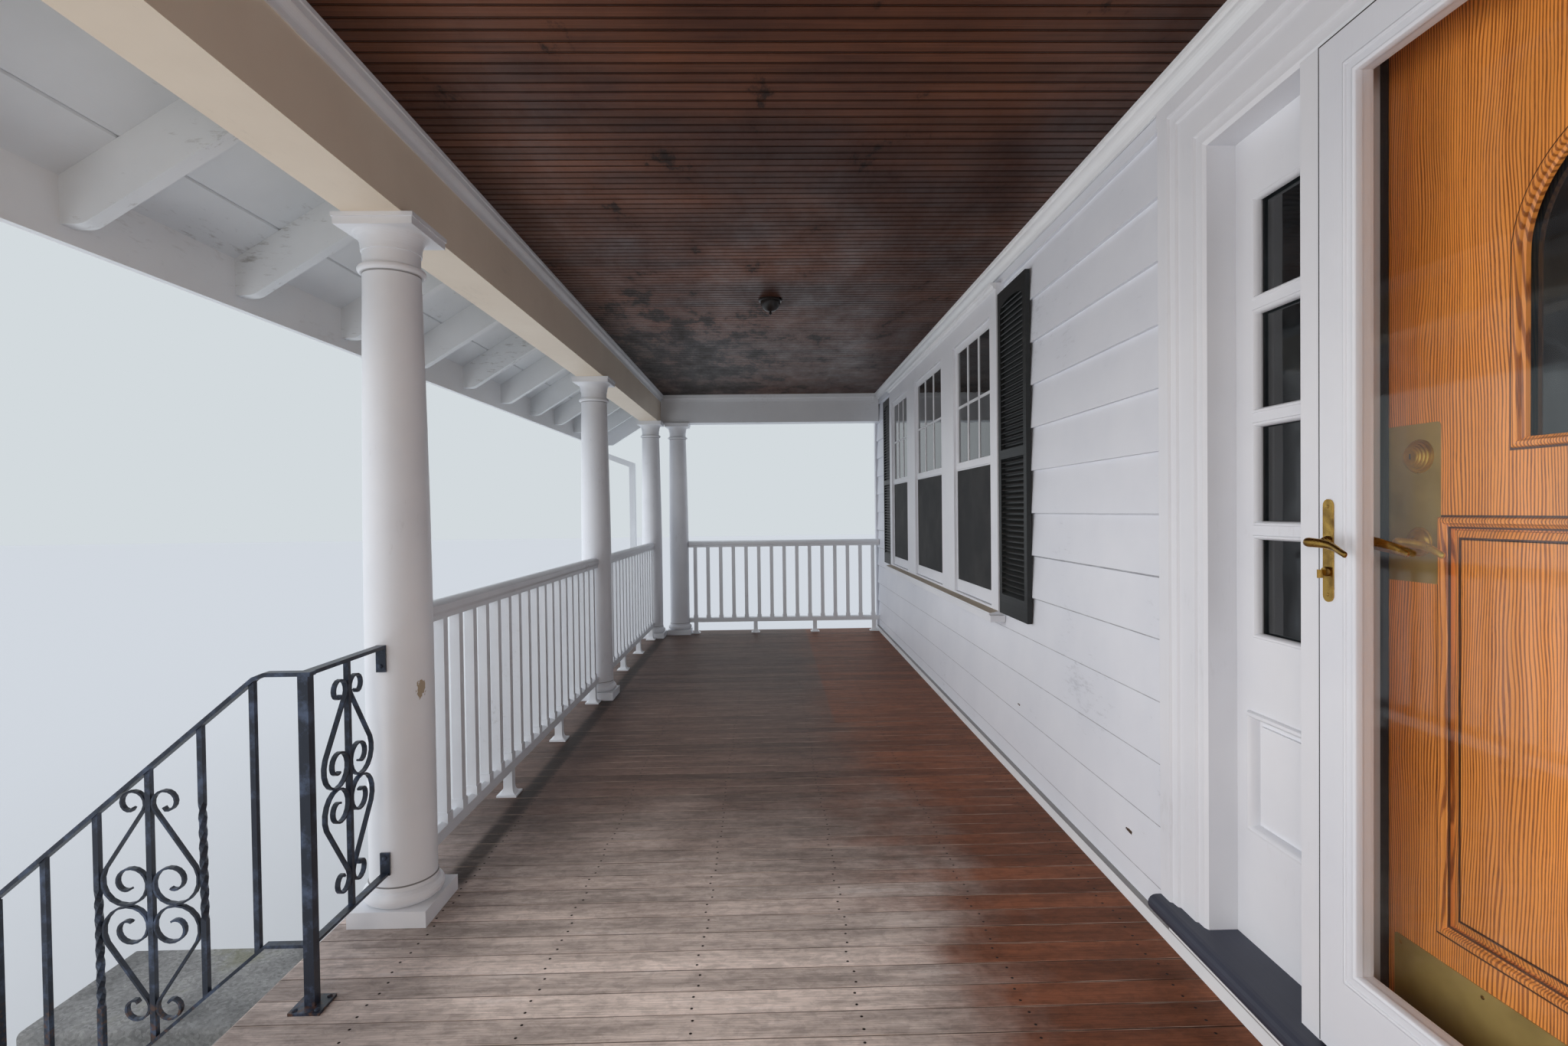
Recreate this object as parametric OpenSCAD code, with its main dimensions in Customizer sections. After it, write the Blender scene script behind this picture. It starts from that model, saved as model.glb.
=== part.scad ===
// Front porch of a colonial house: columned veranda against the front wall.
// Millimetres. X runs along the porch, +Y goes into the house, +Z is up.
// The frame's origin is on the ground under the middle of the whole outline.
// Modules are drawn with y = 0 on the siding and heights above the ground.

/* [Porch] */
// Height of the porch floor above the ground
deck_h = 760; // [700:10:820]
// Depth of the porch floor from the siding to its front edge
deck_d = 2390; // [2360:5:2450]
// Distance between the four middle columns
bay = 2658; // [2600:1:2700]
// Distance from the second to the third column
outer_bay = 2376; // [2300:1:2400]
// Floor board thickness
floor_t = 25; // [19:1:32]

/* [Columns] */
// Front column line, measured from the siding
column_y = 2228; // [2200:1:2240]
// Clear height under the beam
column_h = 2072; // [2000:1:2140]
// Shaft diameter at the bottom
shaft_d = 190; // [170:1:200]
// Shaft diameter at the neck
neck_d = 162; // [150:1:180]
// Side of the square plinth
plinth_w = 229; // [220:1:232]
// Side of the square abacus
abacus_w = 226; // [215:1:230]
// How far the corner column stands behind the front line
corner_back = 237; // [235:1:260]
// How far the corner column stands beyond the third column
corner_out = 189; // [180:1:195]

/* [Roof] */
// Ceiling height above the floor
ceiling_z = 2342; // [2300:1:2400]
// Width of the boxed beam
beam_w = 170; // [160:1:180]
// Roof pitch in degrees
pitch = 32; // [28:0.5:34]
// Distance between rafters
rafter_step = 610; // [600:1:620]
// Rafter tail end, measured from the siding
tail_y = 2814; // [2780:1:2850]
// Underside of a rafter tail above the floor
tail_low = 1918; // [1900:1:1935]
// Depth of a rafter, square to the slope
rafter_d = 130; // [110:1:140]

/* [Door] */
// Width of the storm door opening between the posts
door_w = 918; // [900:1:930]
// Width of each post between door and sidelight
post_w = 52; // [45:1:60]
// Width of each sidelight
sidelight_w = 342; // [320:1:350]
// Top of the door sill above the floor
sill_z = 145; // [120:1:160]
// Underside of the door head above the floor
head_z = 2080; // [2060:1:2100]
// Width of the moulded casing round the entrance
casing_w = 190; // [170:1:200]

/* [Windows] */
// Middle of each triple window, measured from the door's middle
window_x = 4097; // [4050:1:4150]
// Width of the middle window
middle_w = 850; // [800:5:900]
// Width of each outer window
outer_w = 720; // [700:5:760]
// Width of the boarding between windows
mullion_w = 310; // [280:5:320]
// Height of the window sill above the floor
window_z0 = 730; // [700:5:760]
// Height of the window head above the floor
window_z1 = 2120; // [2080:5:2130]
// Siding board exposure
exposure = 177; // [170:1:180]
// Height of the lowest full siding board above the floor
course_z = 116; // [90:1:130]

/* [Railings] */
// Height of the wooden railing
rail_h = 914; // [900:1:930]
// Side of a baluster
baluster_w = 34; // [30:1:38]
// Height of the iron handrail above the floor
iron_h = 823; // [800:1:860]
// Distance of each iron post from the middle of the stair
iron_x = 870; // [850:1:900]

/* [Stair] */
// Number of risers
risers = 4; // [4:1:5]
// Going of one step
going = 229; // [225:1:240]
// Half width of the steps between the cheek walls
stair_half = 1060; // [1040:5:1080]
// Width of a cheek wall
cheek_w = 400; // [350:10:420]

/* [Hidden] */

wall_t = 150;              // structural wall, behind the siding
wall_y0 = 12;              // outer face of the structural wall
wall_y1 = wall_y0 + wall_t;
butt = 8;                  // siding butts stand this far in front of y = 0
sill_t = 45;               // thickness of the door sill
rise = deck_h / risers;
slope = tan(pitch);
beam_in = -(column_y - beam_w / 2);
beam_out = -(column_y + beam_w / 2);
col_x = [bay / 2, bay * 1.5, bay * 1.5 + outer_bay];
corner_x = col_x[2] + corner_out;
corner_y = -(column_y - corner_back);
deck_half = corner_x + plinth_w / 2 + 53;
beam_half = corner_x + beam_w / 2;
floor_z = deck_h;
frame_h = 190;             // timber frame under the floor
found_h = deck_h - floor_t - frame_h;
found_y0 = -(deck_d - 40);
found_t = 200;
stair_y1 = -(deck_d - 30);
stair_y0 = stair_y1 - (risers - 1) * going;
cheek_y0 = stair_y0 - 90;
cheek_h = deck_h - 180;
rafter_w = 44;
tail_level = 56;           // level stretch under each rafter's tail
board_t = 20;              // roof boards, measured square to the slope
cover_t = 14;
lie = 0.1;                 // clearance between sloping pieces that lie on each other
fascia_t = 22;
roof_half = beam_half + 62;
roof_y0 = -(tail_y + fascia_t);
apron_h = 130;             // wall left showing above the roof
post_out = door_w / 2 + post_w;
entry_half = post_out + sidelight_w;
jamb_t = 20;
rough_half = entry_half + jamb_t;
window_half = middle_w / 2 + mullion_w + outer_w;
wall_gap = 12;             // packing between a frame and its opening
casing_t = 24;
casing_y = -32;
shutter_w = 470;
column_top = floor_z + column_h;
ceil = floor_z + ceiling_z;
// Underside of the rafters at distance y
function rafter_under(y) = floor_z + tail_low + slope * (y + tail_y - tail_level);
function vertical(t) = t / cos(pitch);
function roof_under(y) = rafter_under(y) + vertical(rafter_d);
function roof_top(y) = roof_under(y) + vertical(board_t + cover_t);
wall_top = roof_top(wall_y0) + apron_h;
// The whole outline runs from the cheek walls' front to the wall's back.
back_y = wall_y1 + 30;
shift_y = -(cheek_y0 + back_y) / 2;

module in_frame() { translate([0, shift_y, 0]) children(); }
module both_sides() { children(); mirror([1, 0, 0]) children(); }
module block(x0, x1, y0, y1, z0, z1) { translate([x0, y0, z0]) cube([x1 - x0, y1 - y0, z1 - z0]); }
// An outline of [y, z] points, drawn out along X.
module along_x(x0, x1, points) {
    translate([x0, 0, 0]) rotate([90, 0, 90]) linear_extrude(height = x1 - x0) polygon(points);
}
// An outline of [x, z] points, drawn out along Y.
module along_y(y0, y1, points) {
    translate([0, y1, 0]) rotate([90, 0, 0]) linear_extrude(height = y1 - y0) polygon(points);
}
function arc(cx, cy, r, a0, a1, n = 6) = [for (i = [0:n]) let (a = a0 + (a1 - a0) * i / n)
    [cx + r * cos(a), cy + r * sin(a)]];
function shift(points, dx, dy) = [for (p = points) [p[0] + dx, p[1] + dy]];
function flip_x(points) = [for (i = [len(points) - 1:-1:0]) [-points[i][0], points[i][1]]];

// Masonry
module foundation() {
    color("#8f8d86") {
        block(-deck_half + 30, deck_half - 30, found_y0, found_y0 + found_t, 0, found_h);
        both_sides() block(deck_half - 30 - found_t, deck_half - 30, found_y0 + found_t, wall_y0, 0, found_h);
        block(-deck_half, deck_half, wall_y0, back_y, 0, found_h);
    }
}
module steps() {
    nose = 18;
    lip = 45;
    profile = concat([[stair_y1, 0], [stair_y0 + nose, 0]],
        [for (k = [1:risers - 1]) let (y = stair_y0 + (k - 1) * going, z = k * rise)
            each [[y + nose, z - lip], [y, z - lip], [y, z], [y + going + nose, z]]]);
    outline = concat([for (i = [0:len(profile) - 2]) profile[i]], [[stair_y1, (risers - 1) * rise]]);
    color("#9a978f") along_x(-stair_half, stair_half, outline);
}
module cheek_walls() {
    r = 14;
    outline = concat([[stair_half, 0], [stair_half + cheek_w, 0]],
        arc(stair_half + cheek_w - r, cheek_h - r, r, 0, 90), arc(stair_half + r, cheek_h - r, r, 90, 180));
    color("#97958c") both_sides() along_y(cheek_y0, stair_y1, outline);
}

// Floor
module floor_frame() {
    z0 = found_h;
    z1 = deck_h - floor_t;
    x = deck_half - 20;
    color("#e9ebec") {
        block(-x, x, stair_y1, stair_y1 + 38, z0, z1);
        both_sides() block(x - 38, x, stair_y1 + 38, -20, z0, z1);
        block(-x, x, -20, wall_y0, z0, z1);
    }
}
module porch_floor() {
    r = floor_t / 2;
    back = -12;
    nose = arc(-deck_d + r, deck_h - r, r, 270, 90, 8);
    outline = concat([[back, deck_h - floor_t]], nose, [[back, deck_h]]);
    color("#5a3a2c") along_x(-deck_half, deck_half, outline);
}

// Columns
module at_columns() {
    both_sides() {
        for (x = col_x) translate([x, -column_y, floor_z]) children();
        translate([corner_x, corner_y, floor_z]) children();
    }
}
plinth_h = 48;
torus_h = 46;
cap_h = 152;
base_h = plinth_h + torus_h + 14;
module column_bases() {
    r = shaft_d / 2;
    ring = torus_h / 2;
    outline = concat([[0, plinth_h], [r + 2, plinth_h]], arc(r - 4, plinth_h + ring, ring, -75, 75, 8),
        [[r + 3, base_h - 12], [r + 3, base_h], [0, base_h]]);
    color("#eceae4") at_columns() {
        translate([-plinth_w / 2, -plinth_w / 2, 0]) cube([plinth_w, plinth_w, plinth_h]);
        rotate_extrude($fn = 64) polygon(outline);
    }
}
// The shaft is straight for a third of its height, then swells gently to the neck.
module column_shafts() {
    r0 = shaft_d / 2;
    r1 = neck_d / 2;
    z0 = base_h;
    z1 = column_h - cap_h;
    straight = z0 + (z1 - z0) / 3;
    entasis = [for (i = [0:8]) let (t = i / 8)
        [r0 - (r0 - r1) * (1 - cos(90 * t)), straight + (z1 - straight) * t]];
    color("#f0eee8") at_columns()
        rotate_extrude($fn = 64) polygon(concat([[0, z0], [r0, z0]], entasis, [[0, z1]]));
}
// From the shaft up: ring, neck, quarter-round that spreads to the square slab, and a thin fillet on top.
module column_capitals() {
    r = neck_d / 2;
    z0 = column_h - cap_h;
    ring = 11;
    slab_z = column_h - 34;
    spread = [for (i = [0:8]) let (a = i * 90 / 8) [r + 3 + 27 * (1 - cos(a)), slab_z - 46 * (1 - sin(a))]];
    outline = concat([[0, z0], [r + 3, z0]], arc(r + 3, z0 + ring, ring, -90, 90, 8),
        [[r - 1, z0 + 2 * ring], [r - 1, slab_z - 54], [r + 3, slab_z - 54]], spread, [[0, slab_z]]);
    color("#efede7") at_columns() {
        rotate_extrude($fn = 64) polygon(outline);
        slab(abacus_w, slab_z, 22);
        slab(abacus_w + 8, slab_z + 22, 12);
    }
}
module slab(w, z, t) { translate([-w / 2, -w / 2, z]) cube([w, w, t]); }

// Wooden railings
rail_w = 70;
foot_h = base_h + 2;
low_rail_h = 46;
low_rail_w = 44;
rail_fall = 8;             // the lower rail's top slopes this far to each side
cap_d = 62;                // depth of the handrail
foot_w = 84;               // side of a flared foot
collar_h = 34;             // collar round a baluster's foot
collar_w = baluster_w + 8;
module rail_profile(x0, x1) {
    top = floor_z + rail_h;
    neck = 28;
    cap = concat([[-rail_w / 2, top - 34], [-neck, top - 46], [-neck, top - cap_d], [neck, top - cap_d],
        [neck, top - 46], [rail_w / 2, top - 34]], arc(0, top - rail_w * 0.75, rail_w * 0.75, 48, 132, 8));
    along_x(x0, x1, cap);
    z = floor_z + foot_h;
    h = low_rail_w / 2;
    side = z + low_rail_h - rail_fall;
    along_x(x0, x1, [[-h, z], [h, z], [h, side], [0, z + low_rail_h], [-h, side]]);
}
// A square post, h high, that spreads to a plate in a hollow curve on all four sides.
module flared_foot(h) {
    post = 19;
    plate = 8;
    w = foot_w / 2;
    spread = w - 4 - post;
    curve = [for (a = [0:15:90]) [post + spread * (1 - sin(a)), plate + 30 * (1 - cos(a))]];
    half = concat([[w, 0], [w, plate]], curve, [[post, h]]);
    outline = concat(half, flip_x(half));
    intersection() {
        along_x(-w, w, outline);
        along_y(-w, w, outline);
    }
}
// Four feet, evenly from a to b.
function four_feet(a, b) = [for (i = [0:3]) a + (b - a) * i / 3];
module panel(length, count, feet) {
    step = length / count;
    low = floor_z + foot_h + low_rail_h - rail_fall;
    h = baluster_w / 2;
    c = collar_w / 2;
    rail_profile(0, length);
    for (i = [0:count - 1]) let (x = (i + 0.5) * step) {
        block(x - h, x + h, -h, h, low, floor_z + rail_h - cap_d);
        block(x - c, x + c, -c, c, low, low + collar_h);
    }
    for (x = feet) translate([x, 0, floor_z]) flared_foot(foot_h);
}
// The outer feet stand just clear of the column's plinth.
foot_in = (plinth_w - shaft_d + foot_w) / 2 + 2;
module front_panel(x0, x1, count) {
    reach = shaft_d / 2;
    length = x1 - x0 - 2 * reach;
    translate([x0 + reach, -column_y, 0]) panel(length, count, four_feet(foot_in, length - foot_in));
}
module end_panel() {
    y0 = corner_y + shaft_d / 2;
    length = -butt - y0;
    wall_in = foot_w / 2 + 2 - trim_y - butt;  // clears the strip at the foot of the wall
    translate([corner_x, y0, 0]) rotate(90) panel(length, 15, four_feet(foot_in, length - wall_in));
}
module front_railings() {
    color("#e8e9ea") both_sides() {
        front_panel(col_x[0], col_x[1], 19);
        front_panel(col_x[1], col_x[2], 17);
    }
}
module end_railings() { color("#e8e9ea") both_sides() end_panel(); }

// Beams and ceiling
beam_skin = 20;            // board that closes the beam's inner face up to the ceiling
ceil_t = 15;
module front_beam() {
    y0 = beam_out + 24;
    y1 = y0 + 38;
    back = beam_in - beam_skin;
    clear = rafter_step / 2 - rafter_w / 2;
    block_outline = [[y0, rafter_under(y0)], [y1, rafter_under(y1)], [y1, roof_under(y1)],
        [y0, roof_under(y0)]];
    top = ceil + ceil_t;
    color("#eadfce") {
        along_x(-beam_half, beam_half, [[beam_out, column_top], [beam_in, column_top], [beam_in, top],
            [back, top], [back, rafter_under(back)], [beam_out, rafter_under(beam_out)]]);
        for (k = [-10:10]) along_x(k * rafter_step - clear, k * rafter_step + clear, block_outline);
        both_sides() along_x(10.5 * rafter_step + rafter_w / 2, beam_half, block_outline);
    }
}
module end_beams() {
    color("#ebe6de") both_sides() block(beam_half - beam_w, beam_half, beam_in, -butt, column_top, ceil);
}
module ceiling() {
    color("#33201b") block(-(beam_half - beam_w), beam_half - beam_w, beam_in, wall_y0, ceil, ceil + ceil_t);
}
// Crown outline with its back at x = 0 and its top at y = 0.
function crown(p, d) = concat([[0, 0], [0, -d], [p * 0.18, -d], [p * 0.22, -d * 0.84]],
    arc(p * 0.9, -d * 0.84, p * 0.68, 180, 96, 6), [[p * 0.9, -d * 0.24], [p, -d * 0.2], [p, 0]]);
module ceiling_moulding() {
    x = beam_half - beam_w;
    color("#f0ece5") {
        along_x(-x, x, shift(crown(32, 62), beam_in, ceil));
        along_x(-x, x, shift(flip_x(crown(42, 58)), -butt, ceil));
        both_sides() translate([x, 0, 0])
            along_y(beam_in + 32, -butt - 42, shift(flip_x(crown(32, 62)), 0, ceil));
    }
}
light_x = 3126;
light_y = -1078;
module ceiling_lights() {
    pan = [[0, 0], [64, 0], [64, -8], [60, -12], [0, -12]];
    finial = [[5, -66], [9, -70], [9, -76], [5, -82], [0, -84]];
    dome = concat([[0, -12]], arc(0, -12, 54, 0, -84, 10), finial);
    color("#201d1c") both_sides() translate([light_x, light_y, ceil]) {
        rotate_extrude($fn = 48) polygon(pan);
        rotate_extrude($fn = 48) polygon(dome);
    }
}

// Roof
rafter_x = [for (k = [0:10]) rafter_step * (k + 0.5)];
module rafters() {
    toe = -tail_y;
    low = floor_z + tail_low;
    heel = toe + tail_level;
    seat = beam_in - beam_skin;
    top = ceil + ceil_t;
    clear_y = heel + (top - low) / slope;          // where the underside rises past the ceiling boards
    y1 = wall_y0 - 0.5;
    bend = [for (i = [0:4]) let (a = i * pitch / 4) [heel - 20 + 60 * sin(a), low + 60 * (1 - cos(a))]];
    outline = concat([[toe, low]], bend, [[seat, rafter_under(seat)], [seat, top], [clear_y, top],
        [y1, rafter_under(y1)], [y1, roof_under(y1)], [toe, roof_under(toe)]]);
    color("#e4e8ec") both_sides() for (x = rafter_x) along_x(x - rafter_w / 2, x + rafter_w / 2, outline);
}
module sloped(x0, x1, y0, y1, z_off, t) {
    along_x(x0, x1, [[y0, roof_under(y0) + z_off], [y1, roof_under(y1) + z_off],
        [y1, roof_under(y1) + z_off + t], [y0, roof_under(y0) + z_off + t]]);
}
module roof_boards() {
    color("#dde3e8") sloped(-roof_half, roof_half, roof_y0, wall_y0, lie, vertical(board_t) - lie);
}
module roof_covering() {
    x = roof_half + 12;
    color("#5c5f63") sloped(-x, x, roof_y0 - 22, wall_y0, vertical(board_t) + lie, vertical(cover_t) - lie);
}
fascia_z0 = floor_z + tail_low - 40;
module fascia() {
    y1 = -tail_y;
    color("#e3e7ea") along_x(-roof_half, roof_half, [[roof_y0, fascia_z0], [y1, fascia_z0],
        [y1, roof_under(y1)], [roof_y0, roof_under(roof_y0)]]);
}
gutter_w = 112;
gutter_h = 96;
gutter_t = 3;
gutter_top = roof_under(roof_y0) - 14;
// Open trough with an ogee front.
function trough(w, h) = concat([[0, 0], [0, -h], [-w * 0.55, -h]],
    arc(-w * 0.55, -h * 0.5, h * 0.5, -90, -150, 4), [[-w, -h * 0.3], [-w, 0]]);
module gutter() {
    outer = trough(gutter_w, gutter_h);
    inner = shift(trough(gutter_w - 2 * gutter_t, gutter_h - gutter_t), -gutter_t, 0);
    open = [for (p = inner) [p[0], p[1] == 0 ? 1 : p[1]]];
    color("#dfe3e6") difference() {
        along_x(-roof_half, roof_half, shift(outer, roof_y0, gutter_top));
        along_x(-roof_half + gutter_t, roof_half - gutter_t, shift(open, roof_y0, gutter_top));
    }
}
spout_w = 76;
spout_d = 52;
spout_x = beam_half - 60;
// Downspout centre line: outlet, slant back towards the corner, drop, shoe at the ground.
function spout_path() = let (y0 = roof_y0 - 58, y1 = -deck_d - 56, z0 = gutter_top - gutter_h)
    [[y0, z0], [y0, z0 - 70], [y1, z0 - 240], [y1, 150], [y1 - 130, 60]];
function unit(v) = v / norm(v);
function side(path, i, d) = let (
    a = i == 0 ? path[1] - path[0] : path[i] - path[i - 1],
    b = i == len(path) - 1 ? a : path[i + 1] - path[i],
    m = unit(unit(a) + unit(b)))
    path[i] + d / (m * unit(a)) * [-m[1], m[0]];
function band(path, d) = concat([for (i = [0:len(path) - 1]) side(path, i, d)],
    [for (i = [len(path) - 1:-1:0]) side(path, i, -d)]);
module downspouts() {
    t = 2.5;
    path = spout_path();
    n = len(path) - 1;
    open = [for (i = [0:n]) path[i] + (i == 0 ? [0, 1] : i == n ? unit(path[n] - path[n - 1]) : [0, 0])];
    color("#e6e8e9") both_sides() difference() {
        along_x(spout_x - spout_w / 2, spout_x + spout_w / 2, band(path, spout_d / 2));
        along_x(spout_x - spout_w / 2 + t, spout_x + spout_w / 2 - t, band(open, spout_d / 2 - t));
    }
}
// Lapped boards in outline: butts forward, tops back. Boards start at z0 and show from low up.
lap_lean = 13;
function laps(z0, z1, front, back, low) = concat([[back, low]],
    [for (z = [z0:exposure:z1 - 1]) let (a = max(z, low), b = min(z + exposure, z1))
        each [[front + lap_lean * (a - z) / exposure, a], [front + lap_lean * (b - z) / exposure, b]]],
    [[back, z1]]);
gable_t = 66;
module gable_ends() {
    lap = laps(ceil, roof_under(wall_y0) + 1, 0, gable_t, ceil);
    color("#e6e9ec") both_sides() intersection() {
        translate([beam_half, 0, 0]) along_y(beam_in, wall_y0, [for (p = lap) [-p[0], p[1]]]);
        along_x(beam_half - beam_w, beam_half + 1, [[beam_in, ceil], [wall_y0, ceil],
            [wall_y0, roof_under(wall_y0) - 0.5], [beam_in, roof_under(beam_in) - 0.5]]);
    }
}
rake_d = 262;
module rake_boards() {
    y0 = -tail_y;
    y1 = wall_y0;
    cut = fascia_z0;
    y_cut = y0 + (cut - roof_under(y0) + rake_d) / slope;
    color("#e3e6e8") both_sides() along_x(beam_half, beam_half + 25, [[y0, cut], [y_cut, cut],
        [y1, roof_under(y1) - rake_d], [y1, roof_under(y1) - 0.5], [y0, roof_under(y0) - 0.5]]);
}

// House wall
module wall_block(x0, x1, z0, z1) { block(x0, x1, wall_y0, wall_y1, z0, z1); }
module wall_right() {
    gap = window_half + wall_gap;
    z0 = floor_z + window_z0 - wall_gap;
    z1 = floor_z + window_z1 + wall_gap;
    color("#d9d8d4") difference() {
        wall_block(rough_half, deck_half, found_h, wall_top);
        block(window_x - gap, window_x + gap, wall_y0 - 1, wall_y1 + 1, z0, z1);
    }
}
module wall_left() { mirror([1, 0, 0]) wall_right(); }
module wall_over_door() {
    color("#d9d8d4") {
        wall_block(-rough_half, rough_half, floor_z + head_z + jamb_t, wall_top);
        wall_block(-rough_half, rough_half, found_h, floor_z + sill_z - sill_t);
    }
}
casing_out = entry_half + casing_w;
casing_top = floor_z + head_z + casing_w - 14;
window_case = 110;
window_case_top = floor_z + window_z1 + 130;
sill_front = -78;
sill_h = 58;               // depth of a window sill under its opening
strip_h = 40;
board_x = beam_half;        // where the siding ends and the corner boards start
flashing = roof_top(wall_y0) + 12;
module siding() {
    first = floor_z + course_z - exposure;
    low = floor_z + strip_h;
    reach = window_half + window_case;
    color("#dfe3ea") both_sides() {
        difference() {
            along_x(0, board_x, laps(first, ceil, -butt, wall_y0, low));
            block(-1, casing_out, -50, 50, low - 1, casing_top);
            block(window_x - reach, window_x + reach, -50, 50, floor_z + window_z0 - sill_h, window_case_top);
        }
        along_x(0, board_x, laps(flashing, wall_top, -butt, wall_y0, flashing));
    }
}
trim_y = -20;
// Strip at the foot of the siding, and the riser under the door sill
module base_trim() {
    color("#e8eaec") {
        both_sides() block(casing_out, deck_half, trim_y, wall_y0, floor_z, floor_z + strip_h);
        block(-casing_out, casing_out, trim_y, wall_y0, floor_z, floor_z + sill_z - sill_t);
    }
}
module corner_boards() {
    color("#e8eaec") both_sides() {
        block(board_x, deck_half, trim_y, wall_y0, floor_z + strip_h, ceil);
        block(board_x, deck_half, trim_y, wall_y0, flashing, wall_top);
    }
}

// Entrance
// Casing outline across its width: inner bead, flat, raised outer band.
function casing_section(w) = [[0, wall_y0], [0, -20], [10, -26], [34, -26], [38, -32], [w - 84, -32],
    [w - 80, -38], [w - 58, -40], [w - 54, -46], [w - 6, -46], [w, -40], [w, wall_y0]];
module door_casing() {
    w = casing_w;
    z0 = floor_z + sill_z;
    top = floor_z + head_z;
    color("#ece9e3") intersection() {
        union() {
            both_sides() translate([entry_half, 0, z0])
                linear_extrude(height = top + w - z0) polygon(casing_section(w));
            along_x(-casing_out, casing_out, [for (p = casing_section(w)) [p[1], top + p[0]]]);
        }
        block(-casing_out, casing_out, -60, wall_y0, z0, casing_top);
    }
}
module door_frame() {
    z0 = floor_z + sill_z;
    z1 = floor_z + head_z;
    color("#e7e6e3") {
        both_sides() {
            block(entry_half, rough_half, wall_y0, wall_y1, z0, z1);
            block(door_w / 2, post_out, -30, wall_y1, z0, z1);
        }
        block(-rough_half, rough_half, wall_y0, wall_y1, z1, z1 + jamb_t);
    }
}
module door_sill() {
    x = casing_out - 8;
    z = floor_z + sill_z;
    r = sill_t / 2;
    nose = concat([[wall_y0, z], [wall_y0, z - sill_t]], arc(-60, z - r, r, 270, 90, 8));
    color("#34363c") {
        along_x(-x, x, nose);
        block(-rough_half, rough_half, wall_y0, wall_y1 + 10, z - sill_t, z);
    }
}
side_y0 = 52;
side_y1 = 92;
lite_z0 = 887;
lite_z1 = 1925;
lites = 4;
lite_bar = 28;
lite_h = (lite_z1 - lite_z0 - (lites - 1) * lite_bar) / lites;
lite_x0 = post_out + 64;
lite_x1 = entry_half - 68;
module each_lite(y0, y1) {
    for (i = [0:lites - 1]) let (z = floor_z + lite_z0 + i * (lite_h + lite_bar))
        block(lite_x0, lite_x1, y0, y1, z, z + lite_h);
}
side_panel = [420, 700];   // foot and top of the sunk panel below the lites
panel_sunk = 14;
module sidelights() {
    out = 14;              // the sunk panel is this much wider than the lites on each side
    rim = 26;              // sunk border round the panel's raised field
    back = side_y0 + panel_sunk;
    z0 = floor_z + side_panel[0];
    z1 = floor_z + side_panel[1];
    color("#e4e6e8") both_sides() {
        difference() {
            block(post_out, entry_half, side_y0, side_y1, floor_z + sill_z, floor_z + head_z);
            each_lite(side_y0 - 1, side_y1 + 1);
            block(lite_x0 - out, lite_x1 + out, side_y0 - 1, back, z0, z1);
        }
        block(lite_x0 - out + rim, lite_x1 + out - rim, back - panel_sunk / 2, back, z0 + rim, z1 - rim);
    }
}
module sidelight_panes() {
    color([0.3, 0.32, 0.34, 0.5]) both_sides() each_lite(side_y1 - 18, side_y1 - 12);
}

// Windows
win_y0 = 14;
screen_y = win_y0 + 6;
screen_w = 22;
screen_foot = 34;
meet_z = 1440;
screen_top = floor_z + meet_z - 20;
function window_spans() = [[-window_half, -window_half + outer_w], [-middle_w / 2, middle_w / 2],
    [window_half - outer_w, window_half]];
module window_frames() {
    z0 = floor_z + window_z0;
    z1 = floor_z + window_z1;
    x = window_half + window_case;
    sill = [[wall_y0, z0 - 2], [sill_front + 6, z0 - 20], [sill_front, z0 - 28], [sill_front, z0 - sill_h],
        [wall_y0, z0 - sill_h]];
    color("#eceae5") both_sides() translate([window_x, 0, 0]) {
        difference() {
            union() {
                block(-x, x, casing_y, wall_y0, z0 - 40, window_case_top);
                block(-window_half - wall_gap, window_half + wall_gap, wall_y0 - 1, wall_y1,
                    z0 - wall_gap, z1 + wall_gap);
            }
            for (s = window_spans()) block(s[0], s[1], -50, wall_y1 + 1, z0, z1);
        }
        for (s = window_spans()) difference() {
            block(s[0], s[1], screen_y, screen_y + 12, z0, screen_top);
            block(s[0] + screen_w, s[1] - screen_w, screen_y - 1, screen_y + 13,
                z0 + screen_foot, screen_top - screen_w);
        }
        along_x(-x, x, sill);
        block(-x - 30, x + 30, sill_front, -butt, z0 - sill_h, z0 - 28);
    }
}
sash_w = 42;
module sash(x0, x1, y0, z0, z1, foot) {
    difference() {
        block(x0, x1, y0, y0 + 32, z0, z1);
        block(x0 + sash_w, x1 - sash_w, y0 - 1, y0 + 33, z0 + foot, z1 - 36);
    }
}
module window_sashes() {
    z0 = floor_z + window_z0;
    z1 = floor_z + window_z1;
    mid = floor_z + meet_z;
    bar = 16;
    color("#e9e8e4") both_sides() translate([window_x, 0, 0]) for (s = window_spans()) {
        w = (s[1] - s[0] - 2 * sash_w) / 3;
        sash(s[0], s[1], win_y0 + 4, mid - 18, z1, 36);
        for (i = [1:2]) let (x = s[0] + sash_w + w * i)
            block(x - bar / 2, x + bar / 2, win_y0 + 8, win_y0 + 30, mid, z1 - 20);
        cross = (mid + z1 - bar) / 2;
        block(s[0] + 20, s[1] - 20, win_y0 + 8, win_y0 + 30, cross, cross + bar);
        sash(s[0], s[1], win_y0 + 40, z0, mid + 18, 60);
    }
}
module window_panes() {
    z0 = floor_z + window_z0;
    z1 = floor_z + window_z1;
    mid = floor_z + meet_z;
    color([0.62, 0.7, 0.72, 0.35]) both_sides() {
        translate([window_x, 0, 0]) for (s = window_spans()) {
            block(s[0] + sash_w, s[1] - sash_w, win_y0 + 30, win_y0 + 34, mid + 18, z1 - 36);
            block(s[0] + sash_w, s[1] - sash_w, win_y0 + 54, win_y0 + 58, z0 + 60, mid - 18);
        }
    }
}
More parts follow.
